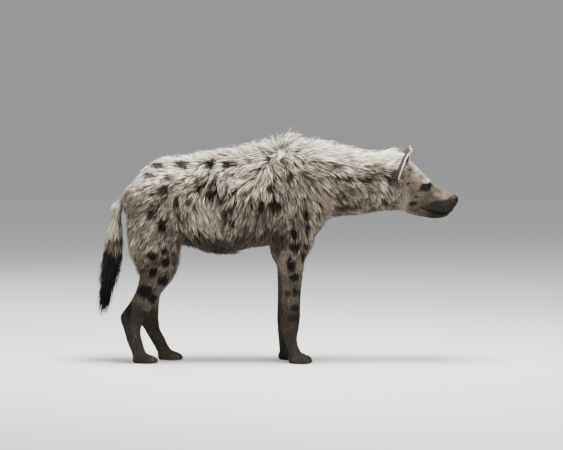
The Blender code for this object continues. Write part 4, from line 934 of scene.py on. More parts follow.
def lie_at(places, normals):
    """Unit vectors of the coat's lie in the side view, and its length, at each place."""
    rows = np.array(LIE)
    flat = places[:, [0, 2]]
    near = np.exp(-((flat[:, None, :] - rows[None, :, :2]) ** 2).sum(2) / LIE_REACH**2) + 1e-12
    near /= near.sum(1, keepdims=True)
    turns = np.radians(rows[:, 2])
    heading = unit(np.stack([near @ np.cos(turns), near @ np.sin(turns)], 1))
    length = near @ rows[:, 3]
    crest = np.array(CREST)
    turn = np.radians(np.interp(places[:, 0], crest[:, 0], crest[:, 1]))
    top = smooth_step(normals[:, 2], *CREST_FACES) * smooth_step(places[:, 2], *CREST_ABOVE)
    heading = heading * (1 - top)[:, None] + np.stack([np.cos(turn), np.sin(turn)], 1) * top[:, None]
    length = length * (1 - top) + np.interp(places[:, 0], crest[:, 0], crest[:, 2]) * top
    ways = np.stack([heading[:, 0], np.zeros(len(places)), heading[:, 1]], 1)
    aside = CREST_PARTS * np.clip(places[:, 1] / CREST_HALF, -1, 1)
    ways[:, 1] += aside * top * (places[:, 0] < CREST_END)
    return ways, length


def near_withers(places):
    """1 where the coat parts on the withers, down to 0 away from there."""
    return np.exp(-(((places - WITHERS) / WITHERS_REACH) ** 2).sum(1))


def unruly(places):
    """How far the coat turns aside here and there, most of all where it parts."""
    parting = PARTING[0] * near_withers(places) * wander(places, PARTING[1])
    return UNRULY[0] * wander(places, UNRULY[1]) + parting


def in_plane(ways, normals):
    """The ways laid into the skin's plane. Where they stand on end, they turn backwards."""
    laid = ways - normals * (ways * normals).sum(1, keepdims=True)
    size = np.linalg.norm(laid, axis=1, keepdims=True)
    back = np.array([[-1.0, 0.0, 0.0]]) - normals * -normals[:, :1]
    laid = laid + back * np.clip(ON_END - size, 0.0, 1.0)
    return unit(laid)


def turned(ways, normals, angles):
    """The ways turned about the normals."""
    across = np.cross(normals, ways)
    return ways * np.cos(angles)[:, None] + across * np.sin(angles)[:, None]


def on_tail(places):
    behind = places[:, 0] < TAIL_BEHIND
    return behind & (places[:, 2] > TAIL_LOW) & (np.abs(places[:, 1]) < TAIL_HALF)


def long_share(places, ears):
    """How far the coat is long at each place: 1 on the trunk, neck, upper legs and tail."""
    face = smooth_step(places[:, 0], *FACE_EDGE)
    line = np.where(places[:, 0] > LEGS_PART, FORE_LINE, HIND_LINE)
    low = 1.0 - smooth_step(places[:, 2] - line, *LEG_EDGE)
    share = (1 - face) * (1 - low)
    share = np.where(on_tail(places), 1.0, share)
    return share * (1 - ears)


def read_from(items, name, kind, size):
    """One value of all items, as rows of the given size."""
    made = np.empty(len(items) * size, kind)
    items.foreach_get(name, made)
    return made.reshape(-1, size)


def surface_arrays(skin):
    """The skin's corners, normals, triangles and their places on the bake map."""
    mesh = skin.data
    mesh.calc_loop_triangles()
    return {
        "corners": read_from(mesh.vertices, "co", float, 3),
        "normals": read_from(mesh.vertices, "normal", float, 3),
        "triangles": read_from(mesh.loop_triangles, "vertices", int, 3),
        "loops": read_from(mesh.loop_triangles, "loops", int, 3),
        "map": read_from(mesh.uv_layers["OFBake"].data, "uv", float, 2),
    }


def roots_on(surface, weights, count, draw):
    """Random places on the skin: their place, normal, place on the map and coat depth."""
    triangles = surface["triangles"]
    sides = surface["corners"][triangles]
    areas = np.linalg.norm(np.cross(sides[:, 1] - sides[:, 0], sides[:, 2] - sides[:, 0]), axis=1)
    chance = areas * weights[triangles].mean(1)
    picked = draw.choice(len(triangles), count, p=chance / chance.sum())
    shares = draw.dirichlet((1.0, 1.0, 1.0), count)

    def mix(values):
        return np.einsum("nk,nkd->nd", shares, values)

    roots = {
        "place": mix(sides[picked]),
        "normal": unit(mix(surface["normals"][triangles[picked]])),
        "map": mix(surface["map"][surface["loops"][picked]]),
    }
    for name in ("depth", "ear", "long"):
        roots[name] = (shares * surface[name][triangles[picked]]).sum(1)
    return roots


def combed(tree, roots, ways, lengths, stations):
    """Paths laid along the skin: the place, normal and way at each station of each hair."""
    count = len(lengths)
    places = np.empty((count, len(stations), 3))
    normals = np.empty_like(places)
    alongs = np.empty_like(places)
    for i in range(count):
        point = Vector(roots["place"][i])
        normal = Vector(roots["normal"][i])
        way = Vector(ways[i])
        walked = 0.0
        for k, share in enumerate(stations):
            if share > 0:
                near, rise, _, _ = tree.find_nearest(point + way * (share - walked) * lengths[i])
                point, normal = near, normal.lerp(rise, NORMAL_SHARE).normalized()
                way = (way - normal * way.dot(normal)).normalized()
                walked = share
            places[i, k] = point
            normals[i, k] = normal
            alongs[i, k] = way
    return places, normals, alongs


def straight(roots, ways, lengths, stations):
    """Paths of short hairs, which don't need to follow the skin."""
    shares = np.array(stations)[None, :, None]
    places = roots["place"][:, None, :] + ways[:, None, :] * lengths[:, None, None] * shares
    normals = np.repeat(roots["normal"][:, None, :], len(stations), 1)
    return places, normals, np.repeat(ways[:, None, :], len(stations), 1)


def hanging(roots, headings, lengths, chosen, draw):
    """Paths of the tail's hairs, which stand off a little and then hang."""
    root, out, along = roots["place"][chosen], roots["normal"][chosen], headings[chosen]
    count = len(root)
    reach = lengths[chosen][:, None, None]
    shares = np.array(LONG_STATIONS)[None, :, None]
    level = np.interp(root[:, 2], *np.array(TAIL_FLARE).T)
    flare = (draw.uniform(*TAIL_OFF, count) * level)[:, None, None]
    lean = draw.normal(0, TAIL_LEAN, (count, 1, 3))
    start = along[:, None, :] + out[:, None, :] * flare + lean
    fall = np.array(TAIL_FALL) * shares**2
    inward = out[:, None, :] * flare * TAIL_IN * shares**2
    places = root[:, None, :] + (start * shares + fall + inward) * reach
    return places, np.repeat(out[:, None, :], len(LONG_STATIONS), 1)


def tuft_pattern(rings):
    """The triangles of one tuft: its closed root, its sides and its tip."""
    pattern = [(0, 2, 1)]
    for r in range(rings - 1):
        for c in range(3):
            d = (c + 1) % 3
            a, b, e, f = 3 * r + c, 3 * r + d, 3 * r + 3 + d, 3 * r + 3 + c
            pattern += [(a, b, e), (a, e, f)]
    last = 3 * (rings - 1)
    pattern += [(last + c, last + (c + 1) % 3, last + 3) for c in range(3)]
    return np.array(pattern)


def store_pelt(mesh, colours, along):
    """Stores the pelt's colour and the place along the hair, which sets its painted shade, at each
    corner of a mesh.
    """
    full = np.ones((len(colours), 4))
    full[:, :3] = colours
    pelt = mesh.attributes.new("pelt", "FLOAT_COLOR", "POINT")
    pelt.data.foreach_set("color", full.reshape(-1).astype(np.float32))
    line = mesh.attributes.new("along", "FLOAT", "POINT")
    line.data.foreach_set("value", along.astype(np.float32))


def tuft_mesh(name, paths, half, thick, tones, spots_on_map):
    """One mesh of closed, tapered, three-sided tufts along the paths."""
    places, normals, alongs = paths
    count, stations, _ = places.shape
    rings = stations - 1
    widths = np.array(TUFT_WIDTHS[stations])
    side = np.cross(alongs[:, :rings], normals[:, :rings])
    side /= np.linalg.norm(side, axis=2, keepdims=True)
    wide = side * (half[:, None] * widths[None, :])[:, :, None]
    rise = normals[:, :rings] * (thick[:, None] * widths[None, :])[:, :, None]
    middle = places[:, :rings]
    ring = np.stack([middle + rise, middle - rise * 0.5 + wide, middle - rise * 0.5 - wide], 2)
    per = rings * 3 + 1
    corners = np.empty((count, per, 3))
    corners[:, :-1] = ring.reshape(count, rings * 3, 3)
    corners[:, -1] = places[:, -1]
    faces = (np.arange(count) * per)[:, None, None] + tuft_pattern(rings)[None]
    faces = faces.reshape(-1, 3)
    mesh = bpy.data.meshes.new(name)
    mesh.vertices.add(count * per)
    mesh.vertices.foreach_set("co", corners.reshape(-1).astype(np.float32))
    mesh.loops.add(faces.size)
    mesh.loops.foreach_set("vertex_index", faces.reshape(-1).astype(np.int32))
    mesh.polygons.add(len(faces))
    mesh.polygons.foreach_set("loop_start", np.arange(0, faces.size, 3, dtype=np.int32))
    mesh.update(calc_edges=True)
    mesh.polygons.foreach_set("use_smooth", np.ones(len(faces), bool))
    shares = np.append(np.repeat(np.linspace(0, 1, stations)[:-1], 3), 1.0)
    lean = np.append(np.tile([0.0, 1.0, -1.0], rings), 0.0)
    patch = np.stack([lean * BAKE_PATCH / 2, (shares - 0.5) * BAKE_PATCH], 1)
    flat = (spots_on_map[:, None, :] + patch[None]).reshape(-1, 2)
    layer = mesh.uv_layers.new(name="OFBake")
    layer.data.foreach_set("uv", flat[faces.reshape(-1)].reshape(-1).astype(np.float32))
    store_pelt(mesh, np.repeat(tones, per, 0), np.tile(shares, count))
    return placed(name, mesh)


# Markings


def wander(places, size):
    """A soft noise of about -1 to 1 at each place."""
    return np.array([noise.noise(Vector(place) / size) for place in places])


def mark_share(places, marks):
    """How far marks cover each place in the side view, with ragged edges."""
    ragged = SPOT_NOISE[0] * wander(places, SPOT_NOISE[1])
    covered = np.zeros(len(places))
    for x, z, half_long, half_tall, strength in marks:
        far = np.hypot((places[:, 0] - x) / half_long, (places[:, 2] - z) / half_tall) + ragged
        covered = np.maximum(covered, strength * smooth_step(far, *SPOT_SOFT))
    return covered


def left_spots():
    """The left side's own spots: like the right side's, but none in the same place."""
    draw = np.random.default_rng(SEED)
    made = []
    for x, z, half_long, half_tall, strength in SPOTS:
        step = draw.uniform(-1, 1, 2) * SPOT_WANDER
        size = draw.uniform(*SPOT_SIZES, 2)
        made.append((x + step[0], z + step[1], half_long * size[0], half_tall * size[1], strength))
    return made


def distances(finder, places, chosen, far=1.0):
    """How far the chosen places lie from the finder's points. The others count as far off."""
    made = np.full(len(places), far)
    for i in np.flatnonzero(chosen):
        made[i] = finder.find(Vector(places[i]))[2]
    return made


def base_tone(places):
    """The tone of the table's nearest rows, some of them painted shade, with soft noise over it."""
    rows = np.array(TONES_AND_PAINTED_SHADE)
    flat = places[:, [0, 2]]
    far = ((flat[:, None, :] - rows[None, :, :2]) ** 2).sum(2)
    near = np.exp(-far / rows[None, :, 2] ** 2) + 1e-9 / (far + 1e-4)
    tone = (near @ rows[:, 3]) / near.sum(1)
    return tone + TONE_NOISE[0] * wander(places, TONE_NOISE[1])


def spots_at(places, normals):
    """The body's spots. On the legs' edges, which the tables don't tell, they are blotches."""
    right = smooth_step(places[:, 1], 0.012, -0.012)
    spots = mark_share(places, SPOTS) * right + mark_share(places, left_spots()) * (1 - right)
    spots = np.where(on_tail(places), 0.0, spots)
    outward = normals[:, 1] * np.sign(places[:, 1])
    edgeways = smooth_step(places[:, 2], *SPOTTED_LEGS) * smooth_step(outward, *EDGEWAYS)
    blotches = smooth_step(wander(places, BLOTCH_SIZE), *BLOTCH_SOFT)
    blotches = blotches * smooth_step(outward, *BLOTCH_OUT)
    return spots * (1 - edgeways) + BLOTCH_TONE * blotches * edgeways


def tone_at(places, normals, ears, finders):
    """The coat's tone from 0, black, to 1, white, with painted shade and a painted highlight in it."""
    x, z = places[:, 0], places[:, 2]
    tone = base_tone(places)
    tone = tone + (SPOT_TONE - tone) * spots_at(places, normals)
    aside = np.abs(places[:, 1])
    for marks, begins, aim in (
        # The painted highlight on the brow and the pale cheek, then the face's dark marks
        (BROW_HIGHLIGHT_AND_PALE_CHEEK, BROW_ASIDE, HIGHLIGHT_AND_PALE_TONE),
        (FACE_MARKS, MASK_ASIDE, FACE_TONE),
    ):
        tone = tone + (aim - tone) * (mark_share(places, marks) * smooth_step(aside, *begins))
    edge = np.interp(x, *np.array(MUZZLE_EDGE).T) + EDGE_NOISE[0] * wander(places, EDGE_NOISE[1])
    muzzle = smooth_step(z - edge, *MUZZLE_SOFT) * smooth_step(x, *MUZZLE_FROM)
    uneven = MUZZLE_SHARE + (1 - MUZZLE_SHARE) * wander(places, MUZZLE_NOISE)
    tone = tone + (MUZZLE_TONE - tone) * muzzle * uneven
    lips = distances(finders["lips"], places, (x > LIPS_AHEAD) & (z < LIPS_UNDER))
    tone = tone + (LIP_TONE - tone) * smooth_step(lips, LIPS_DARK, LIPS_DARK * 0.3)
    rim = smooth_step(distances(finders["rims"], places, ears > 0.3), *EAR_RIM_SOFT)
    ear_tone = EAR_TONE + EAR_LOW_TONE * smooth_step(z, *EAR_BACK) + EAR_RIM_TONE * rim
    return tone + (ear_tone - tone) * ears


def pelt_colour(tone):
    rows = np.array(PELT)
    return np.stack([np.interp(tone, rows[:, 0], rows[:, k]) for k in (1, 2, 3)], 1)


# Shader helpers


def add_node(tree, kind, **settings):
    """A shader node, with its own settings and its sockets' values by name."""
    made = tree.nodes.new(kind)
    for name, value in settings.items():
        if hasattr(made, name):
            setattr(made, name, value)
        else:
            made.inputs[name.replace("_", " ")].default_value = value
    return made


def new_material(name, **values):
    made = bpy.data.materials.new(name)
    made.use_nodes = True
    shader = made.node_tree.nodes["Principled BSDF"]
    for key, value in values.items():
        shader.inputs[key.replace("_", " ")].default_value = value
    return made, made.node_tree, shader


def new_group(name, inputs, outputs):
    """An empty node group with its sockets. inputs: name, kind, value. outputs: name, kind."""
    group = bpy.data.node_groups.new(name, "ShaderNodeTree")
    for title, kind, value in inputs:
        socket = group.interface.new_socket(name=title, in_out="INPUT", socket_type=kind)
        if value is not None:
            socket.default_value = value
    for title, kind in outputs:
        group.interface.new_socket(name=title, in_out="OUTPUT", socket_type=kind)
    return group, group.nodes.new("NodeGroupInput"), group.nodes.new("NodeGroupOutput")


def wire(tree, *rows):
    """Links of a node tree. Each row: a node, its output, the next node and its input."""
    for source, output, target, given in rows:
        tree.links.new(source.outputs[output], target.inputs[given])


def ramp_node(tree, dark, light, start=0.0, end=1.0):
    """A colour ramp from dark to light."""
    made = add_node(tree, "ShaderNodeValToRGB")
    for stop, place, colour in zip(made.color_ramp.elements, (start, end), (dark, light)):
        stop.position = place
        stop.color = (*colour, 1)
    return made


def use_group(tree, group, **values):
    made = tree.nodes.new("ShaderNodeGroup")
    made.node_tree = group
    for key, value in values.items():
        made.inputs[key.replace("_", " ")].default_value = value
    return made


def hair_shade_group():
    """Paints shade on a hair towards its root and light towards its tip, with fine streaks."""
    group, given, out = new_group(
        "hair root shade and tip light",
        [
            ("Colour", "NodeSocketColor", None),
            ("Along", "NodeSocketFloat", 1.0),
            ("Root", "NodeSocketFloat", 0.4),
            ("Streaks", "NodeSocketFloat", 0.3),
            ("Streak Size", "NodeSocketFloat", 260.0),
        ],
        [("Colour", "NodeSocketColor")],
    )
    place = add_node(group, "ShaderNodeTexCoord")
    grain = add_node(group, "ShaderNodeTexNoise", Detail=3.0, Roughness=0.6)
    streak = add_node(group, "ShaderNodeMapRange", To_Min=-1.0, To_Max=1.0)
    amount = add_node(group, "ShaderNodeMath", operation="MULTIPLY")
    # Painted shade and light: the colour is scaled from Root at the hair's root up to 1.25 at its tip
    rise = add_node(group, "ShaderNodeMapRange", From_Max=0.85, To_Max=1.25)
    rise.interpolation_type = "SMOOTHSTEP"
    factor = add_node(group, "ShaderNodeMath", operation="ADD")
    tint = add_node(group, "ShaderNodeVectorMath", operation="SCALE")
    wire(
        group,
        (place, "Object", grain, "Vector"),
        (given, "Streak Size", grain, "Scale"),
        (grain, "Fac", streak, "Value"),
        (streak, "Result", amount, 0),
        (given, "Streaks", amount, 1),
        (given, "Along", rise, "Value"),
        (given, "Root", rise, "To Min"),
        (rise, "Result", factor, 0),
        (amount, "Value", factor, 1),
        (given, "Colour", tint, 0),
        (factor, "Value", tint, "Scale"),
        (tint, "Vector", out, "Colour"),
    )
    return group


def pelt_material(name, tint, root, streaks, size, **values):
    """The pelt's colour, with painted shade at the root, painted light at the tip and fine streaks."""
    made, tree, shader = new_material(name, **values)
    pelt = add_node(tree, "ShaderNodeAttribute", attribute_name="pelt")
    along = add_node(tree, "ShaderNodeAttribute", attribute_name="along")
    colour = use_group(tree, tint, Root=root, Streaks=streaks, Streak_Size=size)
    wire(
        tree,
        (pelt, "Color", colour, "Colour"),
        (along, "Fac", colour, "Along"),
        (colour, "Colour", shader, "Base Color"),
    )
    return made, tree, shader


def coat_material(name, tint, root, streaks, size, roughness):
    """Hair: the tuft's own colour, with painted shade towards its root and painted light at its tip.
    """
    values = {"Roughness": roughness, "Specular_IOR_Level": 0.12}
    made, _, _ = pelt_material(name, tint, root, streaks, size, **values)
    return made


def skin_material(tint):
    """Short flat fur over the skin: its markings, painted shade under the long coat, fine streaks and
    a bump along the lie.
    """
    values = {"Roughness": 0.85, "Specular_IOR_Level": 0.08}
    made, tree, shader = pelt_material("short fur and skin", tint, 0.30, 0.35, 420.0, **values)
    place = add_node(tree, "ShaderNodeTexCoord")
    stretch = add_node(tree, "ShaderNodeMapping", Scale=(1.0, 1.0, 0.25))
    grain = add_node(tree, "ShaderNodeTexNoise", Scale=900.0, Detail=4.0, Roughness=0.65)
    bump = add_node(tree, "ShaderNodeBump", Strength=0.45, Distance=0.0012)
    wire(
        tree,
        (place, "Object", stretch, "Vector"),
        (stretch, "Vector", grain, "Vector"),
        (grain, "Fac", bump, "Height"),
        (bump, "Normal", shader, "Normal"),
    )
    return made


def leather_material():
    """The nose pad: dark, pebbled and a little wet."""
    values = {"Specular_IOR_Level": 0.10, "Coat_Weight": 0.03, "Coat_Roughness": 0.30}
    made, tree, shader = new_material("nose leather", **values)
    place = add_node(tree, "ShaderNodeTexCoord")
    cells = add_node(tree, "ShaderNodeTexVoronoi", Scale=900.0)
    patch = add_node(tree, "ShaderNodeTexNoise", Scale=120.0, Detail=3.0)
    colour = ramp_node(tree, (0.004, 0.0036, 0.0034), (0.008, 0.0070, 0.0062))
    rough = add_node(tree, "ShaderNodeMapRange", To_Min=0.42, To_Max=0.62)
    bump = add_node(tree, "ShaderNodeBump", Strength=0.5, Distance=0.0006)
    wire(
        tree,
        (place, "Object", cells, "Vector"),
        (place, "Object", patch, "Vector"),
        (patch, "Fac", colour, "Fac"),
        (colour, "Color", shader, "Base Color"),
        (patch, "Fac", rough, "Value"),
        (rough, "Result", shader, "Roughness"),
        (cells, "Distance", bump, "Height"),
        (bump, "Normal", shader, "Normal"),
    )
    return made


def eye_materials():
    """Dark surround, brown iris and black pupil, all wet."""
    looks = []
    values = {
        "Roughness": 0.45,
        "Specular_IOR_Level": 0.05,
        "Coat_Weight": 0.14,
        "Coat_Roughness": 0.03,
    }
    for name, dark, light, scale in (
        ("eye surround", (0.006, 0.0045, 0.0035), (0.016, 0.012, 0.009), 90.0),
        ("eye iris", (0.009, 0.0045, 0.0024), (0.030, 0.016, 0.0075), 700.0),
        ("eye pupil", (0.001, 0.001, 0.001), (0.003, 0.003, 0.003), 90.0),
    ):
        made, tree, shader = new_material(name, **values)
        place = add_node(tree, "ShaderNodeTexCoord")
        grain = add_node(tree, "ShaderNodeTexNoise", Scale=scale, Detail=2.0)
        colour = ramp_node(tree, dark, light)
        wire(
            tree,
            (place, "Object", grain, "Vector"),
            (grain, "Fac", colour, "Fac"),
            (colour, "Color", shader, "Base Color"),
        )
        looks.append(made)
    return looks


def plain_material(name, dark, light, scale, roughness):
    """A finish that wanders between two colours, with a shallow bump of the same grain."""
    made, tree, shader = new_material(name, Roughness=roughness)
    place = add_node(tree, "ShaderNodeTexCoord")
    grain = add_node(tree, "ShaderNodeTexNoise", Scale=scale, Detail=4.0)
    colour = ramp_node(tree, dark, light, 0.3, 0.7)
    bump = add_node(tree, "ShaderNodeBump", Strength=0.15, Distance=0.0005)
    wire(
        tree,
        (place, "Object", grain, "Vector"),
        (grain, "Fac", colour, "Fac"),
        (colour, "Color", shader, "Base Color"),
        (grain, "Fac", bump, "Height"),
        (bump, "Normal", shader, "Normal"),
    )
    return made


# Finished pieces


def settle(piece, slot, *materials):
    """Moves a finished piece to where the solids stand, and gives it its finish and body."""
    piece.data.transform(Matrix.Translation((AHEAD, 0, 0)))
    piece.data.materials.clear()
    for finish in materials:
        piece.data.materials.append(finish)
    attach(piece, "root")
    return piece


def smooth_shade(piece):
    piece.data.polygons.foreach_set("use_smooth", [True] * len(piece.data.polygons))
    piece.data.update()


def paint(skin, tone, covered):
    """Stores the markings on the skin: the pelt's colour, and how deep the coat lies over it, which
    sets the skin's painted shade.
    """
    store_pelt(skin.data, pelt_colour(tone), BARE_SKIN_SHADE - UNDER_COAT_SHADE * covered)


def unwrap(skin):
    """The skin's own unwrap, which the coat shares."""
    for other in bpy.context.view_layer.objects:
        other.select_set(False)
    bpy.context.view_layer.objects.active = skin
    skin.select_set(True)
    bpy.ops.object.mode_set(mode="EDIT")
    bpy.ops.mesh.select_all(action="SELECT")
    bpy.ops.uv.smart_project(angle_limit=math.radians(66), island_margin=0.002)
    bpy.ops.object.mode_set(mode="OBJECT")
    skin.data.uv_layers[0].name = "OFBake"


def measure(skin, ear_trees):
    """Arrays of the skin with the coat's depth over each corner and the ears marked."""
    surface = surface_arrays(skin)
    corners = surface["corners"]
    outline = whole_form("outline", 0.0, 0.0, OUTLINE_VOXEL)
    tree = tree_of(outline)
    bpy.data.objects.remove(outline, do_unlink=True)
    depth = np.array([tree.find_nearest(Vector(c))[3] for c in corners])
    ears = np.zeros(len(depth))
    for i in np.flatnonzero(corners[:, 2] > EAR_ABOVE):
        place = Vector(corners[i])
        far = min(shell.find_nearest(place)[3] for shell in ear_trees)
        ears[i] = 1.0 if far < ON_EAR else 0.0
    line = np.array([row[:2] for row in TRUNK if row[0] < NECK_FROM] + [row[:2] for row in NECK])
    over = np.interp(corners[:, 0], line[:, 0], line[:, 1]) - corners[:, 2]
    over = over * smooth_step(surface["normals"][:, 2], *TOP_FACES)
    over = np.where(corners[:, 0] < TOP_END, over, 0.0)
    depth = np.maximum(depth, over)
    surface["depth"] = np.where(ears > 0, EAR_DEPTH, np.clip(depth, *DEPTHS))
    surface["ear"] = ears
    return surface


def lay_locks(locks, tree, draw):
    """The path, the rise and the shade of each lock."""
    ways, lengths = lie_at(locks["place"], locks["normal"])
    count = len(lengths)
    ways = in_plane(ways, locks["normal"])
    aside = unruly(locks["place"]) + draw.normal(0, LOCK_ASIDE, count)
    ways = turned(ways, locks["normal"], aside)
    lengths = lengths * draw.uniform(*LOCK_LENGTHS, count)
    places, _, _ = combed(tree, locks, ways, lengths, LONG_STATIONS)
    rises = draw.uniform(*LOCK_RISES, count)
    return places, rises, draw.normal(0, 1, count)


def build_long_coat(surface, tree, finders, draw, share):
    """The long coat of the trunk, neck, upper legs and tail, gathered in locks."""
    weights = surface["long"] * np.where(on_tail(surface["corners"]), TAIL_DENSER, 1.0)
    locks = roots_on(surface, weights, int(LOCKS * share), draw)
    roots = roots_on(surface, weights, int(LONG_TUFTS * share), draw)
    lock_places, lock_rises, lock_shades = lay_locks(locks, tree, draw)
    finder = near_points(locks["place"])
    mine = np.array([finder.find(place)[1] for place in roots["place"]])

    # The way and length of each hair. Some on the back stand upright
    root, out = roots["place"], roots["normal"]
    count = len(mine)
    headings, lengths = lie_at(root, out)
    ways = turned(in_plane(headings, out), out, unruly(root) + draw.normal(0, HAIR_ASIDE, count))
    lengths = lengths * draw.uniform(*HAIR_LENGTHS, count)
    lengths = lengths * (EDGE_LENGTHS[0] + EDGE_LENGTHS[1] * roots["long"])
    top = smooth_step(out[:, 2], *BACK_FACES) * (root[:, 2] > BACK_ABOVE)
    upright = draw.uniform(0, 1, count) < UPRIGHT_SHARE * top
    askew = turned(ways, out, draw.normal(0, UPRIGHT_ASIDE, count))
    ways = np.where(upright[:, None], askew, ways)
    highest = lengths * (RISE_LIMITS[0] + RISE_LIMITS[1] * top)
    lengths = np.where(upright, UPRIGHT_LENGTH * lengths, lengths)
    places, normals, alongs = combed(tree, roots, ways, lengths, LONG_STATIONS)

    # Each hair bends towards its lock, upright hairs and those on the withers less
    shares = np.array(LONG_STATIONS)[None, :, None]
    pull = LOCK_PULL * shares**LOCK_EASE * draw.uniform(*LOCK_PULLS, count)[:, None, None]
    gather = np.clip(lengths / GATHER_LENGTH, *GATHER_SHARES)
    gather = gather * (1 - WITHERS_LOOSE * near_withers(root))
    pull = pull * (np.where(upright, UPRIGHT_PULL, 1.0) * gather)[:, None, None]
    spread = (root - locks["place"][mine])[:, None, :] * LOCK_SPREAD
    places = places * (1 - pull) + (lock_places[mine] + spread) * pull

    # Then it rises from the skin, most of all near its root
    rise = roots["depth"] * draw.uniform(*HAIR_RISES, count) * lock_rises[mine]
    rise = np.minimum(rise, highest) * np.where(upright, UPRIGHT_RISE, 1.0)
    lift = (1 - (1 - shares) ** RISE_EASE) * rise[:, None, None]
    places = places + normals * lift - normals[:, :1] * ROOT_SUNK * (shares < 0.01)
    brush = on_tail(root)
    places[brush], normals[brush] = hanging(roots, headings, lengths, brush, draw)

    seen = places[:, 2].copy()
    seen[brush] = places[brush, 1]
    tone = tone_at(seen, out, roots["ear"], finders)
    streak = LOCK_SHADE * lock_shades[mine] + draw.normal(0, HAIR_SHADE, count)
    tone = np.clip(tone + streak * (0.25 + tone), 0.02, 1.0)
    broad = np.clip(lengths / FULL_LENGTH, *FULL_SHARES)
    half = TUFT_HALF * draw.uniform(*HALVES, count) * broad
    return roots, (places, normals, alongs), half, pelt_colour(tone)


def bare_at(places, finders):
    """1 at the places that have no hair: the eyes, the nose, the lips and the soles."""
    bare = places[:, 2] < SOLE_BARE
    for eye in EYES.values():
        bare |= np.linalg.norm(places - np.array(eye)[None], axis=1) < EYE_RADIUS + EYE_BARE
    far = (places - np.array(NOSE_CENTRE)[None]) / (np.array(NOSE_RADII)[None] + NOSE_BARE)
    bare |= np.linalg.norm(far, axis=1) < 1.0
    near_lips = (places[:, 0] > LIPS_AHEAD) & (places[:, 2] < LIPS_UNDER)
    return bare | (distances(finders["lips"], places, near_lips) < LIPS_BARE)


def build_short_coat(surface, finders, draw, share):
    """The short, flat coat of the head, lower legs, feet and ears."""
    places = surface["corners"]
    weights = (1 - surface["long"]) * (1 - bare_at(places, finders))
    face = FACE_DENSER[0] * smooth_step(places[:, 0], *FACE_DENSER[1:])
    face = face + MUZZLE_DENSER[0] * smooth_step(places[:, 0], *MUZZLE_DENSER[1:])
    weights = weights * (1.0 + face + EAR_DENSER * surface["ear"])
    roots = roots_on(surface, weights, int(SHORT_TUFTS * share), draw)
    root, out = roots["place"], roots["normal"]
    ways, lengths = lie_at(root, out)
    for side, _ in SIDES:
        chosen = (roots["ear"] > 0.5) & (np.sign(root[:, 1]) == side)
        axis = side_of(EAR_TIP, side) - side_of(EAR_BASE, side)
        ways[chosen] = np.array(axis.normalized())
        lengths[chosen] = EAR_HAIR
    count = len(lengths)
    ways = turned(in_plane(ways, out), out, draw.normal(0, FUR_ASIDE, count))
    lengths = lengths * draw.uniform(*FUR_LENGTHS, count)
    paths, normals, alongs = straight(roots, ways, lengths, SHORT_STATIONS)
    shares = np.array(SHORT_STATIONS)[None, :, None]
    rise = np.minimum(roots["depth"] * draw.uniform(*FUR_RISES, count), FUR_RISE_LIMIT * lengths)
    lift = (1 - (1 - shares) ** FUR_EASE) * rise[:, None, None]
    paths = paths + normals * (lift - FUR_SUNK * (shares < 0.01))
    paths[:, :, 2] = np.maximum(paths[:, :, 2], SOLE_CLEAR)
    tone = tone_at(root, out, roots["ear"], finders)
    tone = np.clip(tone + draw.normal(0, FUR_SHADE, count) * (0.22 + tone), 0.01, 1.0)
    feet = FEET_BROADER[0] * smooth_step(root[:, 2], *FEET_BROADER[1:])
    broad = np.clip(lengths / FUR_FULL_LENGTH, *FUR_FULL_SHARES) * (1 + feet)
    half = SHORT_HALF * draw.uniform(*HALVES, count) * broad
    return roots, (paths, normals, alongs), half, pelt_colour(tone)


def coat_pieces(made, regions, finish):
    """Parts one coat into pieces by region: name, slot and the places that it takes."""
    roots, (places, normals, alongs), half, colours = made
    left_over = np.ones(len(half), bool)
    for name, slot, inside in regions:
        mine = left_over & inside(roots["place"])
        left_over &= ~mine
        if not mine.any():
            continue
        paths = (places[mine], normals[mine], alongs[mine])
        flat = half[mine] * TUFT_FLAT
        piece = tuft_mesh(name, paths, half[mine], flat, colours[mine], roots["map"][mine])
        settle(piece, slot, finish)


def eye_piece(side, word, looks):
    """An eyeball with a bulging cornea, in three finishes by how far they lie from the gaze."""
    bm = bmesh.new()
    bmesh.ops.create_uvsphere(bm, u_segments=40, v_segments=30, radius=1.0)
    for vert in bm.verts:
        bulge = max(0.0, vert.co.z - CORNEA_FROM) / 0.20
        vert.co *= EYE_RADIUS * (1 + CORNEA_BULGE * bulge)
    for face in bm.faces:
        off = math.acos(max(-1.0, min(1.0, face.calc_center_median().normalized().z)))
        face.material_index = 2 if off < PUPIL_EDGE else 1 if off < IRIS_EDGE else 0
    turn = gaze_frame(side) @ Matrix.Rotation(math.pi / 2, 4, "Y")
    bmesh.ops.transform(bm, matrix=Matrix.Translation(EYES[word]) @ turn, verts=bm.verts)
    piece = object_of("eyeball_" + word, bm)
    smooth_shade(piece)
    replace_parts(settle(piece, "eye", *looks), "eye_" + word)


def lid_rim(side, word, finish):
    """The dark wet edge of the lids, as a thin ring that lies round the opening."""
    bm = bmesh.new()
    rings = []
    for y, z in lid_outline():
        around = Vector((0, y, z)).normalized()
        deep = math.sqrt(max(EYE_RADIUS**2 - y * y - z * z, 0.0))
        place = Vector((deep, y, z)) * ((EYE_RADIUS + RIM_OFF) / EYE_RADIUS)
        out = place.normalized()
        flat = (around - out * around.dot(out)).normalized()
        ring = []
        for j in range(RIM_SIDES):
            angle = math.tau * j / RIM_SIDES
            step = out * math.sin(angle) + flat * math.cos(angle) * RIM_FLAT
            ring.append(bm.verts.new(place + step * RIM_HALF))
        rings.append(ring)
    bridge(bm, rings + rings[:1])
    matrix = Matrix.Translation(EYES[word]) @ gaze_frame(side)
    bmesh.ops.transform(bm, matrix=matrix, verts=bm.verts)
    piece = object_of("lid_rim_" + word, bm)
    smooth_shade(piece)
    settle(piece, "nose_skin", finish)


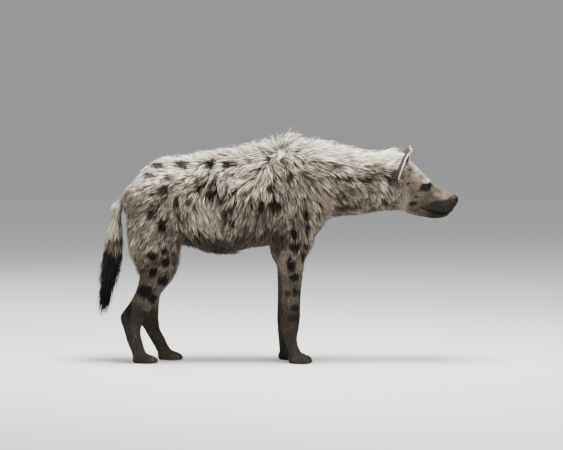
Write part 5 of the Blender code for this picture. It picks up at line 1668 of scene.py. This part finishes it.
def nose_piece(finish):
    """The bare pad: rounded, with a nostril each side and a groove down the middle."""
    bm = bmesh.new()
    bmesh.ops.create_uvsphere(bm, u_segments=48, v_segments=32, radius=1.0)
    for vert in bm.verts:
        flat = Vector([math.copysign(abs(c) ** NOSE_BLUNT, c) for c in vert.co])
        groove = NOSE_GROOVE * math.exp(-((flat.y / NOSE_GROOVE_HALF) ** 2))
        groove = groove * smooth_step(-flat.z, *NOSE_GROOVE_FROM)
        wing = NOSE_WING * math.exp(-(((abs(flat.y) - NOSE_WING_AT) / NOSE_WING_HALF) ** 2))
        ahead = max(flat.x, 0.0)
        vert.co = Vector([place * radius for place, radius in zip(flat, NOSE_RADII)])
        vert.co *= 1.0 - float(groove) * ahead + wing * ahead
    bmesh.ops.translate(bm, verts=bm.verts, vec=NOSE_CENTRE)
    pad = object_of("nose_pad", bm)
    for side, _ in SIDES:
        turn = Matrix.Rotation(side * NOSTRIL_TURN, 4, "Z")
        for place, radii in ((NOSTRIL, NOSTRIL_RADII), (NOSTRIL_SLIT, SLIT_RADII)):
            boolean(pad, ball_piece("hole", side_of(place, side), radii, turn, 24), "DIFFERENCE")
    smooth_shade(pad)
    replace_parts(settle(pad, "nose_skin", finish), "nose")


def claw_rings(start):
    """Rings of one claw, which tapers and bends down towards its tip."""
    ahead = Vector((math.cos(CLAW_PITCH), 0, -math.sin(CLAW_PITCH)))
    up = Vector((math.sin(CLAW_PITCH), 0, math.cos(CLAW_PITCH)))
    for k in range(CLAW_RINGS + 1):
        share = k / CLAW_RINGS
        centre = start + ahead * (share - 0.5) * CLAW_LONG - up * CLAW_BEND * share**2
        size = CLAW_THICK * (1 - CLAW_TAPER * share**CLAW_EASE)
        yield round_ring(centre, up, size, CLAW_WIDE)


def claw_piece(name, size, side, shift, finish):
    """The blunt, fixed claws of one foot."""
    bm = bmesh.new()
    for back, y in toes(size, side):
        start = Vector((size["tip"] - back + shift - CLAW_BACK, y, size["height"] * CLAW_RISE))
        loft(bm, list(claw_rings(start)), CLAW_SIDES)
    piece = object_of(name, bm)
    smooth_shade(piece)
    settle(piece, "foot_coat", finish)


def whiskers_piece(skin_tree, draw, finish):
    """Whiskers of the muzzle, as thin tapered hairs."""
    starts, ways, lengths = [], [], []
    for side, _ in SIDES:
        for row in range(WHISKER_ROWS):
            for k in range(WHISKER_COUNT):
                x = WHISKER_X - WHISKER_X_STEP * k - WHISKER_X_ROW * row
                z = WHISKER_Z - WHISKER_Z_ROW * row + WHISKER_Z_STEP * k
                found, normal = from_side(skin_tree, side, x, z)
                starts.append(found - normal * WHISKER_SUNK)
                back, aside, up = WHISKER_WAY
                way = Vector((back, side * aside, up + WHISKER_SPREAD * draw.normal()))
                ways.append((way + normal * WHISKER_OUT).normalized())
                lengths.append(WHISKER_LONG + WHISKER_LONGER * k + WHISKER_LONGER * draw.uniform())
    shares = np.array(LONG_STATIONS)[None, :, None]
    starts, ways = np.array(starts), np.array(ways)
    lengths = np.array(lengths)[:, None, None]
    droop = np.array(WHISKER_DROOP)[None, None, :] * shares**2 * lengths
    places = starts[:, None, :] + ways[:, None, :] * shares * lengths + droop
    alongs = np.repeat(ways[:, None, :], len(LONG_STATIONS), 1)
    normals = np.cross(alongs, np.array([0.0, 0.0, 1.0])[None, None, :])
    normals /= np.linalg.norm(normals, axis=2, keepdims=True)
    half = np.full(len(starts), WHISKER_HALF)
    tones = np.repeat(np.array([WHISKER_TONE]), len(starts), 0)
    where = np.repeat(np.array([[0.5, 0.5]]), len(starts), 0)
    piece = tuft_mesh("whiskers", (places, normals, alongs), half, half, tones, where)
    settle(piece, "head_coat", finish)


# Studio


def build_studio():
    """A plain pale floor, soft light from above and both sides, and the photograph's view."""
    scene = bpy.context.scene
    bm = bmesh.new()
    bmesh.ops.create_grid(bm, x_segments=1, y_segments=1, size=FLOOR_HALF)
    floor = object_of("floor", bm)
    finish, _, shader = new_material("pale floor", Roughness=0.9)
    shader.inputs["Base Color"].default_value = FLOOR_COLOUR
    floor.data.materials.append(finish)
    world = bpy.data.worlds.new("studio")
    world.use_nodes = True
    sky = world.node_tree.nodes["Background"]
    sky.inputs["Color"].default_value = SKY_COLOUR
    sky.inputs["Strength"].default_value = SKY_STRENGTH
    scene.world = world
    for name, place, size, power, colour in LAMPS:
        lamp = bpy.data.lights.new(name, "AREA")
        lamp.size = size
        lamp.energy = power
        lamp.color = colour
        thing = placed(name, lamp)
        thing.location = place
        thing.rotation_euler = (LAMPS_AIM - Vector(place)).to_track_quat("-Z", "Y").to_euler()
    lens = bpy.data.cameras.new("view")
    lens.sensor_width = SENSOR
    lens.lens = SENSOR * VIEW_DISTANCE / (IMAGE_WIDTH * PIXEL)
    lens.clip_end = 200.0
    camera = placed("view", lens)
    back = Vector((0, -math.cos(VIEW_RISE), math.sin(VIEW_RISE)))
    camera.location = VIEW_CENTRE + Vector((AHEAD, 0, 0)) + back * VIEW_DISTANCE
    camera.rotation_euler = (math.pi / 2 - VIEW_RISE, 0, 0)
    scene.camera = camera


LONG_REGIONS = [
    ("tail_hair", "tuft_coat", lambda p: on_tail(p)),
    ("mane_right", "neck_coat", lambda p: (p[:, 0] > 0.19) & (p[:, 1] < 0)),
    ("mane_left", "neck_coat", lambda p: p[:, 0] > 0.19),
    ("shoulder_coat_right", "upper_leg_coat", lambda p: (p[:, 0] > -0.02) & (p[:, 1] < 0)),
    ("shoulder_coat_left", "upper_leg_coat", lambda p: p[:, 0] > -0.02),
    ("flank_coat_right", "body_coat", lambda p: (p[:, 0] > -0.30) & (p[:, 1] < 0)),
    ("flank_coat_left", "body_coat", lambda p: p[:, 0] > -0.30),
    ("haunch_coat_right", "body_coat", lambda p: p[:, 1] < 0),
    ("haunch_coat_left", "body_coat", lambda p: p[:, 1] >= 0),
]
SHORT_REGIONS = [
    ("ear_fur", "ear_coat", lambda p: (p[:, 2] > 0.66) & (np.abs(p[:, 1]) > 0.052) & (p[:, 0] < 0.49)),
    ("face_fur_right", "head_coat", lambda p: (p[:, 0] > 0.30) & (p[:, 1] < 0)),
    ("face_fur_left", "head_coat", lambda p: p[:, 0] > 0.30),
    ("foot_fur", "foot_coat", lambda p: p[:, 2] < 0.08),
    ("foreleg_fur", "lower_leg_coat", lambda p: p[:, 0] > LEGS_PART),
    ("hind_leg_fur", "lower_leg_coat", lambda p: p[:, 0] <= LEGS_PART),
]


def main():
    share = 1.0
    draw = np.random.default_rng(SEED)
    skin, ear_trees, finders = build_skin()
    unwrap(skin)
    surface = measure(skin, ear_trees)
    surface["long"] = long_share(surface["corners"], surface["ear"])
    tree = tree_of(skin)
    tone = tone_at(surface["corners"], surface["normals"], surface["ear"], finders)
    paint(skin, tone, surface["long"])
    smooth_shade(skin)

    tint = hair_shade_group()
    # The third number of each is the painted shade at a hair's root, as a share of its colour
    long_hair = coat_material("long coat", tint, 0.18, 0.22, 300.0, 0.62)
    short_hair = coat_material("short coat", tint, 0.55, 0.20, 500.0, 0.66)
    leather = leather_material()
    rim = plain_material("lid rim", (0.006, 0.005, 0.005), (0.020, 0.017, 0.015), 400.0, 0.30)
    horn = plain_material("claw horn", (0.030, 0.026, 0.022), (0.110, 0.095, 0.080), 300.0, 0.42)

    coat_pieces(build_long_coat(surface, tree, finders, draw, share), LONG_REGIONS, long_hair)
    coat_pieces(build_short_coat(surface, finders, draw, share), SHORT_REGIONS, short_hair)
    whiskers_piece(tree, draw, short_hair)

    settle(skin, "body_coat", skin_material(tint))
    flesh = [name for name in frame["nodes"] if not name.startswith(("eye_", "nose"))]
    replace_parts(skin, *flesh)

    looks = eye_materials()
    for side, word in SIDES:
        eye_piece(side, word, looks)
        lid_rim(side, word, rim)
        for leg, _, lead, foot in LEGS:
            claw_piece(leg + "_claws_" + word, foot, side, leg_shift(lead, side, 0.0), horn)
    nose_piece(leather)
    build_studio()


main()
